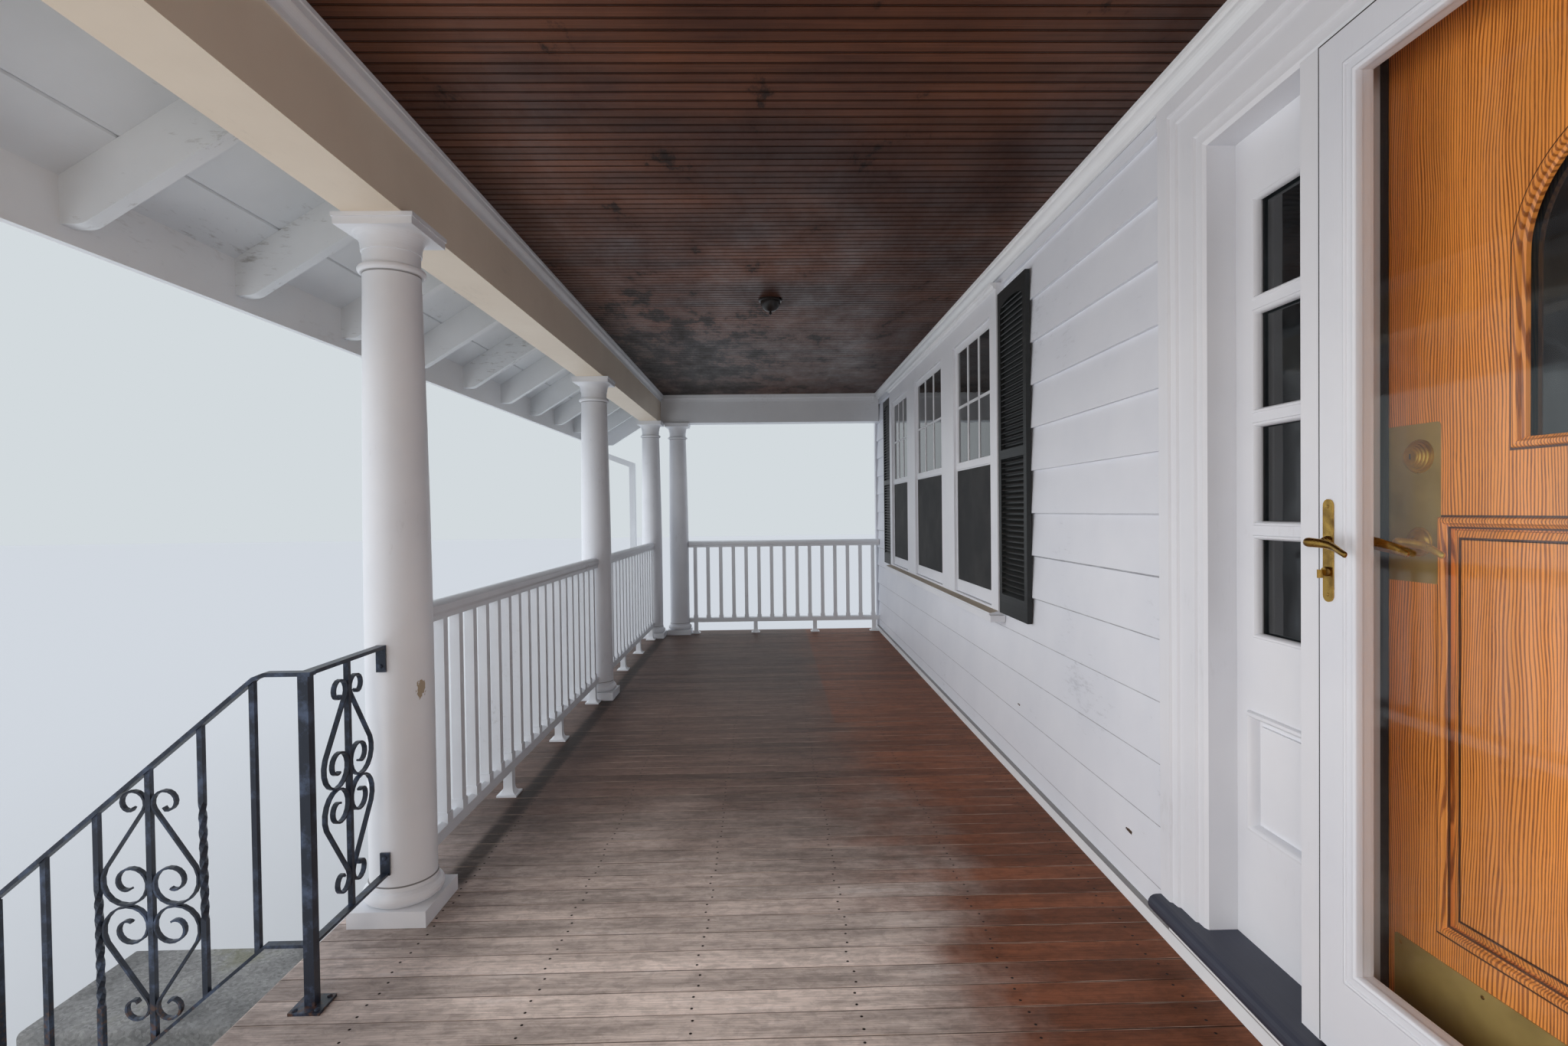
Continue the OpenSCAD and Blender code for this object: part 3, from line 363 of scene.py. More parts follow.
@dataclass
class Nodes:
    """The node tree of one material, with short ways to add the nodes that finishes share."""

    tree: bpy.types.ShaderNodeTree
    shader: bpy.types.ShaderNode | None = None

    def feed(self, node: bpy.types.ShaderNode, inputs: dict) -> None:
        """Links or sets a node's inputs.

        Args:
            node: the node.
            inputs: for each input, by name or number, another node's output or a value.
        """
        for key, value in inputs.items():
            if isinstance(value, Socket):
                self.tree.links.new(value, node.inputs[key])
            else:
                node.inputs[key].default_value = value

    def add(self, kind: str, inputs: dict | None = None, out: int | str = 0, **settings: object) -> Socket:
        """Adds one shader node.

        Args:
            kind: the node's type without its ShaderNode prefix.
            inputs: outputs or values for its inputs, by name or number.
            out: the output that is wanted, by name or number.
            settings: properties of the node itself.

        Returns:
            The wanted output.
        """
        made = self.tree.nodes.new("ShaderNode" + kind)
        for key, value in settings.items():
            setattr(made, key, value)
        self.feed(made, inputs or {})
        return made.outputs[out]

    @cached_property
    def spot(self) -> Socket:
        """The place on the object in metres.

        Returns:
            The output of one coordinate node, made when it is first asked for.
        """
        return self.add("TexCoord", out="Object")

    def axis(self, name: str, at: Socket | None = None) -> Socket:
        """Takes one coordinate of a place.

        Args:
            name: X, Y or Z.
            at: the place, or None for the spot on the object.

        Returns:
            The coordinate.
        """
        return self.add("SeparateXYZ", {0: self.spot if at is None else at}, name)

    def noise(self, scale: float | Vec3, detail: float, roughness: float = 0.5, distortion: float = 0.0,
              at: Socket | None = None, out: int | str = 0) -> Socket:
        """Adds cloud noise.

        Args:
            scale: patterns for each metre, as one number or as one for each axis.
            detail: how many finer layers are added.
            roughness: strength of each finer layer beside the one before it.
            distortion: how far the noise is bent by itself.
            at: the place, or None for the spot on the object.
            out: the output that is wanted.

        Returns:
            The noise.
        """
        where = self.spot if at is None else at
        if isinstance(scale, tuple):
            where, scale = self.add("Mapping", {"Vector": where, "Scale": scale}), 1.0
        inputs = {"Vector": where, "Scale": scale, "Detail": detail, "Roughness": roughness}
        return self.add("TexNoise", {**inputs, "Distortion": distortion}, out)

    def calc(self, kind: str, *values: Socket | float) -> Socket:
        """Adds one Math node.

        Args:
            kind: its operation.
            values: its inputs in order.

        Returns:
            Its result.
        """
        return self.add("Math", dict(enumerate(values)), operation=kind)

    plus = partialmethod(calc, "ADD")
    minus = partialmethod(calc, "SUBTRACT")
    times = partialmethod(calc, "MULTIPLY")

    def ramp(self, value: Socket, low: float = 0.0, high: float = 1.0, to_low: float = 0.0,
             to_high: float = 1.0, smooth: bool = False) -> Socket:
        """Maps a value so that low gives to_low and high gives to_high, and holds it there beyond them.

        Args:
            value: the value.
            low, high: limits of the value, where low may be the greater.
            to_low, to_high: what the limits become.
            smooth: True for a curve that is level at both limits.

        Returns:
            The mapped value.
        """
        inputs = {"Value": value, "From Min": low, "From Max": high, "To Min": to_low, "To Max": to_high}
        return self.add("MapRange", inputs, interpolation_type="SMOOTHSTEP" if smooth else "LINEAR")

    def mix(self, share: Socket, first: Socket | str, second: Socket | str) -> Socket:
        """Mixes two colours.

        Args:
            share: 0 gives the first colour and 1 the second.
            first, second: outputs, or colours as #rrggbb.

        Returns:
            The mixed colour.
        """
        a, b = (linear(c) if isinstance(c, str) else c for c in (first, second))
        return self.add("Mix", {0: share, MIX_A: a, MIX_B: b}, MIX_OUT, data_type="RGBA")

    def scaled(self, vector: Socket, factor: Socket | float) -> Socket:
        """Multiplies a colour or place by a number.

        Args:
            vector: the colour or place.
            factor: the number.

        Returns:
            Their product.
        """
        return self.add("VectorMath", {0: vector, "Scale": factor}, operation="SCALE")

    def boards(self, pitch: float, joint_x: float) -> tuple[Socket, Socket]:
        """Numbers the boards along X.

        Args:
            pitch: width of a board with its joint.
            joint_x: where one joint lies.

        Returns:
            The number of boards from that joint, with its fraction, and a random value for each board.
        """
        across = self.calc("DIVIDE", self.minus(self.axis("X"), joint_x), pitch)
        number = self.calc("FLOOR", across)
        return across, self.add("TexWhiteNoise", {"W": number}, "Value", noise_dimensions="1D")

    def within(self, mark: Mark) -> Socket:
        """Mask of a mark: the distance from its centre, in its own sizes and bent by noise.

        Args:
            mark: the mark.

        Returns:
            1 inside the mark and 0 outside it.
        """
        away = self.add("VectorMath", {0: self.spot, 1: mark.centre}, operation="SUBTRACT")
        sized = self.add("VectorMath", {0: away, 1: mark.size}, operation="DIVIDE")
        far = self.add("VectorMath", {0: sized}, "Value", operation="LENGTH")
        ragged = self.noise(1.6, 3.0, at=sized)
        return self.ramp(self.calc("MULTIPLY_ADD", ragged, 1.6, far), 1.85, 1.75)

    def coat(self, colour: Socket, rough: Socket | float, bump: tuple[Socket, float, float] | None = None,
             more: dict | None = None) -> None:
        """Joins a finish to the material's shader.

        Args:
            colour: base colour.
            rough: roughness.
            bump: height, strength and depth in metres.
            more: further inputs of the shader, by name.
        """
        self.feed(self.shader, {"Base Color": colour, "Roughness": rough, **(more or {})})
        if bump:
            height, strength, depth = bump
            normal = self.add("Bump", {"Height": height, "Strength": strength, "Distance": depth})
            self.feed(self.shader, {"Normal": normal})


@dataclass(frozen=True)
class Finish:
    """What each finish has: a plain name, and one material that is made when it is first asked for."""

    name: str

    def shade(self, n: Nodes) -> None:
        """Builds the finish's nodes.

        Args:
            n: the material's nodes.
        """
        raise NotImplementedError

    def material(self) -> bpy.types.Material:
        """Gives the Blender material, and makes it the first time.

        Returns:
            The material of this name.
        """
        found = bpy.data.materials.get(self.name)
        if found is None:
            found = bpy.data.materials.new(self.name)
            found.use_nodes = True
            self.shade(Nodes(found.node_tree, found.node_tree.nodes["Principled BSDF"]))
        return found


@dataclass(frozen=True)
class BrushedPaint(Finish):
    """Satin oil paint brushed on wood: long shallow strokes, soft clouding, and dirt held in small pits."""

    paint: str = "#e9ecef"
    shade_tone: str = "#d3d8de"
    dirt: str = "#8d8578"
    dirt_share: float = 0.25
    grain: Axis = Axis.X
    roughness: float = 0.42
    marks: tuple[Mark, ...] = ()
    seams_z: tuple[float, ...] = ()
    # painted shade under siding butts: first butt's height, step and highest line
    lap_shade: tuple[float, float, float] | None = None

    def shade(self, n: Nodes) -> None:
        """Strokes 3 mm wide and 0.4 m long, clouds of 0.5 m, pits of 15 mm and dark seams 3 mm wide.

        Where laps gives the first butt's height, the step and the highest splash, dirt lies in a broken line
        Under each butt of lapped siding, up to a given height, a broken dark line in the dirt colour is
        painted shade; the first butt's height, the step and the highest line are given with the finish.

        Args:
            n: the material's nodes.
        """
        strokes = n.noise(self.grain.stretch(3 * MM, 0.4), 3.0)
        clouds = n.noise(2.0, 4.0, 0.6)
        pits = n.noise(self.grain.stretch(15 * MM, 0.06), 5.0, 0.7)
        colour = n.mix(n.ramp(clouds, 0.3, 0.75), self.paint, self.shade_tone)
        dirty = n.ramp(n.plus(pits, clouds), 1.17, 1.36, 0.0, self.dirt_share)
        colour = n.mix(dirty, colour, self.dirt)
        height = n.minus(strokes, dirty)
        for seam_z in self.seams_z:
            off = n.calc("ABSOLUTE", n.minus(n.axis("Z"), seam_z))
            colour = n.mix(n.ramp(off, 2.6 * MM, 0.8 * MM, 0.0, 0.75), colour, "#4e463d")
        # Painted shade: a broken dark line on and under each siding butt, fading out above a given height.
        if self.lap_shade:
            first, step, shade_top = self.lap_shade
            up = n.calc("FLOORED_MODULO", n.minus(n.axis("Z"), first - 5 * MM), step)
            near = n.ramp(up, 8.5 * MM, 6.5 * MM)
            broken = n.ramp(pits, 0.3, 0.55, 0.35, 0.85)
            line = n.times(n.times(near, broken), n.ramp(n.axis("Z"), shade_top + 0.1, shade_top))
            colour = n.mix(line, colour, self.dirt)
        for mark in self.marks:
            inside = n.within(mark)
            colour = n.mix(inside, colour, mark.colour)
            height = n.calc("MULTIPLY_ADD", inside, -3.0, height)
        rough = n.ramp(strokes, to_low=self.roughness - 0.06, to_high=self.roughness + 0.08)
        n.coat(colour, rough, (height, 0.35, 0.4 * MM))


@dataclass(frozen=True)
class WornFloor(Finish):
    """Oiled softwood boards: bleached by the steps, red-brown under the wall's shelter, nailed in pairs."""

    nail_y: float = -0.02
    nail_step: float = 0.40
    rug_x: float = 3.27
    rug_y: float = 0.724
    rail_y: float = -0.670

    def nails(self, n: Nodes, inside: Socket, board: Socket) -> Socket:
        """Two nails in each board over each joist, from the distance in metres to the nearest one.

        Args:
            n: the material's nodes.
            inside: how far across its board the spot is, from 0 to 1.
            board: a random value for each board, which moves its nails up to 16 mm along.

        Returns:
            1 on a nail's head and 0 beside it.
        """
        dx = n.times(n.minus(n.calc("FRACT", n.times(inside, 2.0)), 0.5), BOARD_PITCH / 2)
        shifted = n.plus(n.minus(n.axis("Y"), self.nail_y), n.times(board, 0.016))
        dy = n.minus(n.calc("FLOORED_MODULO", shifted, self.nail_step), self.nail_step / 2)
        off = n.add("VectorMath", {0: n.add("CombineXYZ", {0: dx, 1: dy})}, "Value", operation="LENGTH")
        return n.ramp(off, 4.4 * MM, 2.8 * MM)

    def shade(self, n: Nodes) -> None:
        """Each board has its own tone, and fibres are 2.5 mm wide and 0.2 m long.

        The wear is a mask for each cause: feet near the steps, the wall's shelter, and a rug that once lay
        beyond the windows' near edge. A dark band along the railing is the railing's painted shadow on the
        floor.

        Args:
            n: the material's nodes.
        """
        smooth = partial(n.ramp, smooth=True)
        y = n.axis("Y")
        away = n.calc("ABSOLUTE", n.axis("X"))
        across, board = n.boards(BOARD_PITCH, FLOOR_JOINT_X)
        inside = n.calc("FRACT", across)
        blotch = n.noise(Axis.Y.stretch(0.06, 0.40), 7.0, 0.72)
        scuff = n.noise((38.0, 22.0, 1.0), 4.0, 0.7, 0.6)
        patch = n.noise((2.2, 2.8, 1.0), 5.0, 0.6)
        fibre = n.noise(Axis.Y.stretch(2.5 * MM, 0.22), 6.0, 0.7, 0.3)
        wander = n.plus(n.times(board, 0.22), n.times(patch, 0.9))
        near = smooth(n.plus(away, wander), 3.0, 1.45)
        open_air = smooth(n.plus(y, n.times(wander, 0.7)), 1.48, 0.98)
        walked = n.times(near, open_air)
        shelter = smooth(n.plus(y, n.times(patch, 0.6)), 0.75, 1.45)
        rug = n.times(smooth(away, self.rug_x - 0.03, self.rug_x + 0.03),
                      smooth(y, self.rug_y - 0.02, self.rug_y + 0.02))
        red = n.calc("MAXIMUM", shelter, rug)
        colour = n.mix(walked, n.mix(red, "#66524a", "#7c4b33"), "#cabcb4")
        tone = smooth(board, 0.0, 1.0, 0.80, 1.16)
        streak = smooth(fibre, 0.3, 0.7, 0.70, 1.22)
        stain = n.times(smooth(blotch, 0.36, 0.6, 0.72, 1.08), smooth(scuff, 0.36, 0.6, 0.84, 1.08))
        colour = n.scaled(colour, n.times(tone, n.times(streak, stain)))
        # Black water stains by the doorway, bleached scrapes by the steps, and the railing's shadow painted
        # as a dark band beside it.
        wet = n.times(smooth(patch, 0.60, 0.68, 0.0, 0.75), n.times(shelter, smooth(away, 1.9, 1.2)))
        scrape = n.times(smooth(blotch, 0.60, 0.66, 0.0, 0.5), n.times(walked, scuff))
        # Painted shadow: a dark patchy band on the floor along the railing, away from the steps.
        off_rail = n.calc("ABSOLUTE", n.minus(y, self.rail_y))
        patchy = n.times(smooth(away, 1.42, 1.5, 0.0, 0.8), smooth(blotch, 0.3, 0.5, 0.4, 1.0))
        rail_shadow_band = n.times(smooth(off_rail, 0.055, 0.02), patchy)
        # Joints are dark lines, and the edges beside them are rubbed light in places.
        edge = n.minus(0.5, n.calc("ABSOLUTE", n.minus(inside, 0.5)))
        rubbed = n.times(smooth(edge, 0.055, 0.03, 0.0, 0.55), smooth(fibre, 0.45, 0.6))
        joint = smooth(edge, 0.022, 0.010, 0.0, 0.8)
        nail = self.nails(n, inside, board)
        for mask, tint in ((wet, "#1f1a1c"), (scrape, "#e0dad8"), (rail_shadow_band, "#1e1b1a"), (rubbed, "#d6c0b0"),
                           (joint, "#2b2422"), (nail, "#1c1615")):
            colour = n.mix(mask, colour, tint)
        height = n.calc("MULTIPLY_ADD", nail, -2.0, fibre)
        n.coat(colour, smooth(walked, 0.0, 1.0, 0.5, 0.75), (height, 0.5, 0.8 * MM),
               {"Specular IOR Level": 0.16, "Specular Tint": linear("#f0d8cc")})


@dataclass(frozen=True)
class StainedBoards(Finish):
    """Dark stained and varnished beaded boards: streaky red-brown stain, black mould towards the ends."""

    def shade(self, n: Nodes) -> None:
        """Stain streaks are 5 mm wide and 0.35 m long; stain gathers in the quirks, 44 mm apart.

        Args:
            n: the material's nodes.
        """
        across, board = n.boards(BOARD_PITCH, CEILING_JOINT_X)
        streak = n.noise(Axis.Y.stretch(5 * MM, 0.35), 5.0, 0.65)
        cloud = n.noise(Axis.Y.stretch(0.5, 0.8), 5.0, 0.6)
        stain = n.mix(n.ramp(cloud, 0.38, 0.62), "#39231c", "#573525")
        tone = n.times(n.ramp(board, to_low=0.78, to_high=1.2), n.ramp(streak, 0.32, 0.7, 0.7, 1.3))
        half = n.calc("FRACT", n.times(across, 2.0))
        quirk = n.ramp(half, 0.26, 0.18, 0.0, 0.75)
        colour = n.mix(quirk, n.scaled(stain, tone), "#1d1310")
        # Mildew: blotches that grow commoner away from the doorway and towards the street.
        mould = n.noise((2.4, 4.6, 1.0), 9.0, 0.74)
        away = n.ramp(n.calc("ABSOLUTE", n.axis("X")), 2.2, 4.2)
        damp = n.ramp(n.axis("Y"), 0.7, 0.0, 0.05, 0.17)
        black = n.ramp(n.calc("MULTIPLY_ADD", away, damp, mould), 0.61, 0.66, 0.0, 0.88)
        n.coat(n.mix(black, colour, "#141210"), n.ramp(mould, 0.35, 0.65, 0.3, 0.55), (streak, 0.3, 0.5 * MM),
               {"Specular IOR Level": 0.2, "Specular Tint": linear("#e8b8a0")})


@dataclass(frozen=True)
class Concrete(Finish):
    """Cast concrete with exposed sand and small stones, weathered grey with moss in its hollows."""

    tone: str = "#a3a4a2"

    def shade(self, n: Nodes) -> None:
        """Stones of 8 mm, sand of 2 mm and moss in patches of 0.3 m.

        Args:
            n: the material's nodes.
        """
        stones = n.add("RGBToBW", {0: n.add("TexVoronoi", {"Vector": n.spot, "Scale": 125.0}, "Color")})
        sand = n.noise(420.0, 2.0)
        weather = n.noise(3.3, 7.0, 0.65)
        pale = n.mix(n.ramp(weather, 0.35, 0.65), "#757675", self.tone)
        tone = n.times(n.ramp(stones, to_low=0.72, to_high=1.28), n.ramp(sand, to_low=0.8, to_high=1.2))
        moss = n.ramp(weather, 0.56, 0.66, 0.0, 0.55)
        n.coat(n.mix(moss, n.scaled(pale, tone), "#6d6f4a"), 0.9, (n.plus(sand, stones), 0.6, 1.0 * MM))


@dataclass(frozen=True)
class Shingles(Finish):
    """Asphalt shingles: grey mineral granules pressed into the face, each tab a little lighter or darker."""

    def shade(self, n: Nodes) -> None:
        """Granules are drawn at 4 mm, coarser than the real 1.5 mm, so that they still show.

        Args:
            n: the material's nodes.
        """
        grit = n.noise(250.0, 2.0)
        cell = n.add("VectorMath", {0: n.spot, 1: (0.152, 0.121, 9.0)}, operation="DIVIDE")
        tab = n.add("TexWhiteNoise", {"Vector": n.add("VectorMath", {0: cell}, operation="FLOOR")}, "Value",
                    noise_dimensions="3D")
        base = n.mix(n.noise((3.0, 0.7, 0.7), 5.0), "#4d4f52", "#6a6b6a")
        tone = n.times(n.ramp(tab, to_low=0.8, to_high=1.2), n.ramp(grit, 0.3, 0.7, 0.65, 1.35))
        n.coat(n.scaled(base, tone), 0.95, (grit, 0.6, 1.0 * MM))


@dataclass(frozen=True)
class PaintedIron(Finish):
    """Forged bar under blue-black enamel: a hammered skin, lighter where it is rubbed, rust at the feet."""

    rust_top: float = DECK_Z + 0.03

    def shade(self, n: Nodes) -> None:
        """Hammer marks of 12 mm, rubbed enamel over 60 mm and rust only low on the posts.

        Args:
            n: the material's nodes.
        """
        hammered = n.noise(80.0, 3.0)
        rubbed = n.noise(17.0, 5.0, 0.7)
        colour = n.mix(n.ramp(rubbed, 0.5, 0.68, 0.0, 0.7), "#262d3a", "#5a6a86")
        low = n.ramp(n.axis("Z"), self.rust_top, self.rust_top - 0.025)
        rusty = n.times(low, n.ramp(hammered, 0.5, 0.62, 0.0, 0.8))
        n.coat(n.mix(rusty, colour, "#5f4333"), n.ramp(rubbed, to_low=0.25, to_high=0.5),
               (hammered, 0.4, 0.8 * MM))


@dataclass(frozen=True)
class AgedBrass(Finish):
    """Cast and polished brass whose lacquer has gone brown in patches, from handling."""

    bright: str = "#d0a858"
    brown: str = "#8d6a38"
    patch_size: float = 0.03
    film: float = 0.0

    def shade(self, n: Nodes) -> None:
        """Tarnish lies in patches of one size, polish lines are 1 mm apart, and a dull film covers a share.

        Args:
            n: the material's nodes.
        """
        patch = n.noise(1 / self.patch_size, 4.0)
        lines = n.noise(Axis.Z.stretch(1 * MM, 0.05), 2.0)
        colour = n.mix(n.ramp(patch, 0.38, 0.66), self.bright, self.brown)
        rough = n.ramp(patch, to_low=0.14 + self.film / 4, to_high=0.42 + self.film / 4)
        n.coat(colour, rough, (lines, 0.12, 0.1 * MM), {"Metallic": 1.0 - self.film})


@dataclass(frozen=True)
class VarnishedOak(Finish):
    """Sawn red oak, stained golden and varnished: dark open pores in wavy rings under a glossy coat."""

    light: str = "#ee9c48"
    dark: str = "#ac642a"
    pore: str = "#6b3d18"

    def shade(self, n: Nodes) -> None:
        """Rings 5.5 mm apart that sway over 0.8 m, and pores 1 mm wide and 40 mm long that crowd in them.

        Args:
            n: the material's nodes.
        """
        bend = n.noise(Axis.Z.stretch(0.2, 0.8), 3.0, out="Color")
        line = n.add("VectorMath", {0: n.spot, 1: n.scaled(bend, 0.08)}, operation="ADD")
        ring = n.calc("SINE", n.calc("DIVIDE", n.axis("X", line), 5.5 * MM / math.tau))
        pores = n.noise(Axis.Z.stretch(1.0 * MM, 0.04), 2.0, at=line)
        streak = n.noise(Axis.Z.stretch(9 * MM, 0.5), 3.0, at=line)
        broad = n.noise(Axis.Z.stretch(0.12, 0.9), 3.0)
        late = n.ramp(n.calc("MULTIPLY_ADD", streak, 2.4, ring), 0.9, 2.0, smooth=True)
        open_pore = n.times(n.ramp(pores, 0.48, 0.62), n.ramp(late, to_low=0.08, to_high=0.55))
        colour = n.mix(open_pore, n.mix(late, self.light, self.dark), self.pore)
        n.coat(n.scaled(colour, n.ramp(broad, 0.3, 0.7, 0.96, 1.28)), 0.34, (open_pore, 0.3, -0.3 * MM),
               {"Coat Weight": 0.6, "Coat Roughness": 0.08})


@dataclass(frozen=True)
class Pane(Finish):
    """Float glass before a dark room: its dark colour is painted shade of the unlit room behind, and its
    smooth face mirrors the street, a little wavy with age.
    """

    # Painted shade: the tint stands in for the dark room seen through the glass.
    tint: str = "#14181a"
    wave: float = 0.25

    def shade(self, n: Nodes) -> None:
        """Waves of 90 mm in the glass, and dust that dulls it slightly.

        Args:
            n: the material's nodes.
        """
        waves = n.noise(11.0, 1.0)
        dust = n.noise(6.0, 6.0, 0.7)
        colour = n.mix(n.ramp(dust, 0.45, 0.75, 0.0, 0.18), self.tint, "#5b6468")
        n.coat(colour, n.ramp(dust, to_low=0.01, to_high=0.07), (waves, self.wave, 1.5 * MM),
               {"IOR": 1.52, "Specular IOR Level": 0.8})


@dataclass(frozen=True)
class ClearPane(Finish):
    """Thin clear glass: it lets nearly all light straight through and mirrors more of it at a slant."""

    def shade(self, n: Nodes) -> None:
        """A mirror whose strength is the reflection of both faces, with faint smears in it.

        Args:
            n: the material's nodes.
        """
        smear = n.noise(Axis.Z.stretch(0.05, 0.3), 5.0)
        cover = n.plus(n.ramp(smear, 0.4, 0.8, 0.0, 0.04), n.add("Fresnel", {"IOR": 1.6}))
        facing = n.minus(1.0, n.add("NewGeometry", out="Backfacing"))
        n.coat(n.mix(smear, "#dfe8ea", "#f4f7f7"), n.ramp(smear, to_low=0.01, to_high=0.08),
               more={"Metallic": 1.0, "Alpha": n.times(cover, facing)})


@dataclass(frozen=True)
class WovenScreen(Finish):
    """Woven charcoal insect screen. The real threads are 1.4 mm apart; they are drawn 4 mm apart to show."""

    spacing: float = 4 * MM

    def shade(self, n: Nodes) -> None:
        """Threads are the crests of two crossed waves along X and Z, with dust in soft clouds; the near-black
        between the threads is painted shade, the dark seen through the mesh.

        Args:
            n: the material's nodes.
        """
        tight = n.scaled(n.spot, 2 * math.pi / self.spacing)
        crest_x, crest_z = (n.calc("COSINE", n.axis(name, tight)) for name in ("X", "Z"))
        thread = n.ramp(n.calc("MAXIMUM", crest_x, crest_z), 0.2, 0.9)
        dusty = n.mix(n.ramp(n.noise(5.0, 5.0), 0.4, 0.7), "#303133", "#4b4b4a")
        # Painted shade: near-black between the threads for the dark behind the screen.
        n.coat(n.mix(thread, "#191a1c", dusty), 0.75, (thread, 0.4, 0.3 * MM))


@dataclass(frozen=True)
class RolledPlaster(Finish):
    """Plaster under flat wall paint laid on with a roller: an even fine stipple."""

    tone: str = "#d8d6d0"

    def shade(self, n: Nodes) -> None:
        """Stipple of 3 mm and slow shading over 0.8 m.

        Args:
            n: the material's nodes.
        """
        n.coat(n.mix(n.noise(1.2, 4.0), self.tone, "#c9c6be"), 0.8, (n.noise(330.0, 2.0), 0.3, 0.4 * MM))


WHITE_X = BrushedPaint("white_paint_along_x", shade_tone="#dfe2e6", grain=Axis.X)
WHITE_Y = BrushedPaint("white_paint_along_y", shade_tone="#dfe2e6", grain=Axis.Y)
WHITE_Z = BrushedPaint("white_paint_along_z", paint="#e2e4e9", shade_tone="#d8dbe2", dirt_share=0.12,
                       grain=Axis.Z)
WEATHERED = BrushedPaint("weathered_white_paint", paint="#e6eaed", shade_tone="#d5dade", dirt="#6f6a60",
                         dirt_share=0.6, grain=Axis.Y)
WEATHERED_X = BrushedPaint("weathered_white_sheathing", paint="#e4e9ed", shade_tone="#d6dce1", dirt="#6f6a60",
                           dirt_share=0.5, grain=Axis.X)
GUTTER_METAL = BrushedPaint("white_baked_enamel", paint="#e2e5e8", shade_tone="#d4d8db", dirt="#6d6b63",
                            dirt_share=0.35, roughness=0.34)
# Painted light: the beam's cream paint stands in for warm light bounced up from the floor.
BEAM_PAINT_WITH_PAINTED_FLOOR_LIGHT = BrushedPaint("beam_paint_with_painted_floor_light", paint="#eee0cb", shade_tone="#e3d3bd", dirt_share=0.15)
# The siding's lap numbers paint a line of shade under each butt, up to 1.1 m above the deck.
SIDING_PAINT = BrushedPaint("siding_paint", paint="#e2e5ec", shade_tone="#d7dbe4", dirt="#7d7f86",
                            dirt_share=0.3, lap_shade=(DECK_Z + 0.116, 0.177, DECK_Z + 1.1),
                            marks=(Mark((-1.311, 1.464, 0.959), (0.022, 0.03, 0.006), "#4d3f35"),
                                   Mark((-1.426, 1.464, 1.048), (0.009, 0.03, 0.004), "#6b5e52"),
                                   Mark((-2.330, 1.464, 1.091), (0.016, 0.03, 0.004), "#5d5249"),
                                   Mark((-1.741, 1.464, 0.760), (0.05, 0.03, 0.008), "#8b8378")))
COLUMN_PAINT = BrushedPaint("column_paint", paint="#eef0f3", shade_tone="#e2e5ea", dirt_share=0.2,
                            grain=Axis.Z, roughness=0.36, seams_z=(DECK_Z + 0.109, DECK_Z + 1.9185),
                            marks=(Mark((-1.284, -0.673, 1.442), (0.014, 0.022, 0.026), "#a8987f"),))
ENAMEL = BrushedPaint("white_enamel", paint="#e2e5eb", shade_tone="#d7dbe4", dirt_share=0.05, grain=Axis.Z,
                      roughness=0.3)
SLATE_PAINT = BrushedPaint("slate_grey_floor_paint", paint="#3d4150", shade_tone="#2f323c", dirt="#77798a",
                           dirt_share=0.4, roughness=0.5)
SHUTTER_PAINT = BrushedPaint("black_shutter_paint", paint="#1a1c1d", shade_tone="#232524", dirt="#4c4d48",
                             dirt_share=0.3, roughness=0.5)
LAMP_BRONZE = BrushedPaint("dark_bronze_enamel", paint="#191615", shade_tone="#26201c", dirt="#4a3a2a",
                           dirt_share=0.2, roughness=0.3)
FLOOR = WornFloor("worn_floor_boards")
CEILING = StainedBoards("stained_ceiling_boards")
CONCRETE = Concrete("weathered_concrete")
ASPHALT = Shingles("asphalt_shingles")
IRON = PaintedIron("painted_wrought_iron")
BRASS = AgedBrass("aged_brass")
POLISHED_BRASS = AgedBrass("polished_brass", bright="#f0cc60", brown="#c49a3c", patch_size=0.05, film=0.15)
SHEET_BRASS = AgedBrass("dull_sheet_brass", bright="#bfa866", brown="#9a8549", patch_size=0.15, film=0.55)
OAK = VarnishedOak("varnished_oak")
# Dark strips in the oak's quirks: stain, and painted shade of the grooves.
OAK_QUIRK_STAIN_AND_SHADE = VarnishedOak("stain_and_painted_shade_in_quirks", light="#5a3216", dark="#42230f", pore="#2c170b")
RUBBER = BrushedPaint("black_rubber_strip", paint="#1b1b1c", shade_tone="#262628", dirt="#4a4a48",
                      roughness=0.6)
BASE_PAINT = BrushedPaint("base_strip_paint", shade_tone="#dadde2", dirt="#6f6a62", dirt_share=0.7,
                          seams_z=(DECK_Z + 0.0395,))
WEATHERED_SILL = BrushedPaint("weathered_sill", paint="#a89c8b", shade_tone="#8d8273", dirt="#5f574c",
                              dirt_share=0.6, roughness=0.7)
DARK_PANE = Pane("dark_window_glass")
CLEAR_PANE = ClearPane("clear_storm_glass")
SCREEN = WovenScreen("insect_screen")
PLASTER = RolledPlaster("rolled_plaster")


# Pieces

def dress(finishes: dict[str, Finish]) -> None:
    """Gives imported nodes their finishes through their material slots.

    Args:
        finishes: the finish of each node, by the node's name.
    """
    for node, finish in finishes.items():
        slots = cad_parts[node].data.materials
        if not slots:
            slots.append(finish.material())
        for i in range(len(slots)):
            slots[i] = finish.material()
        log.info("node %s: %s", node, finish.name)


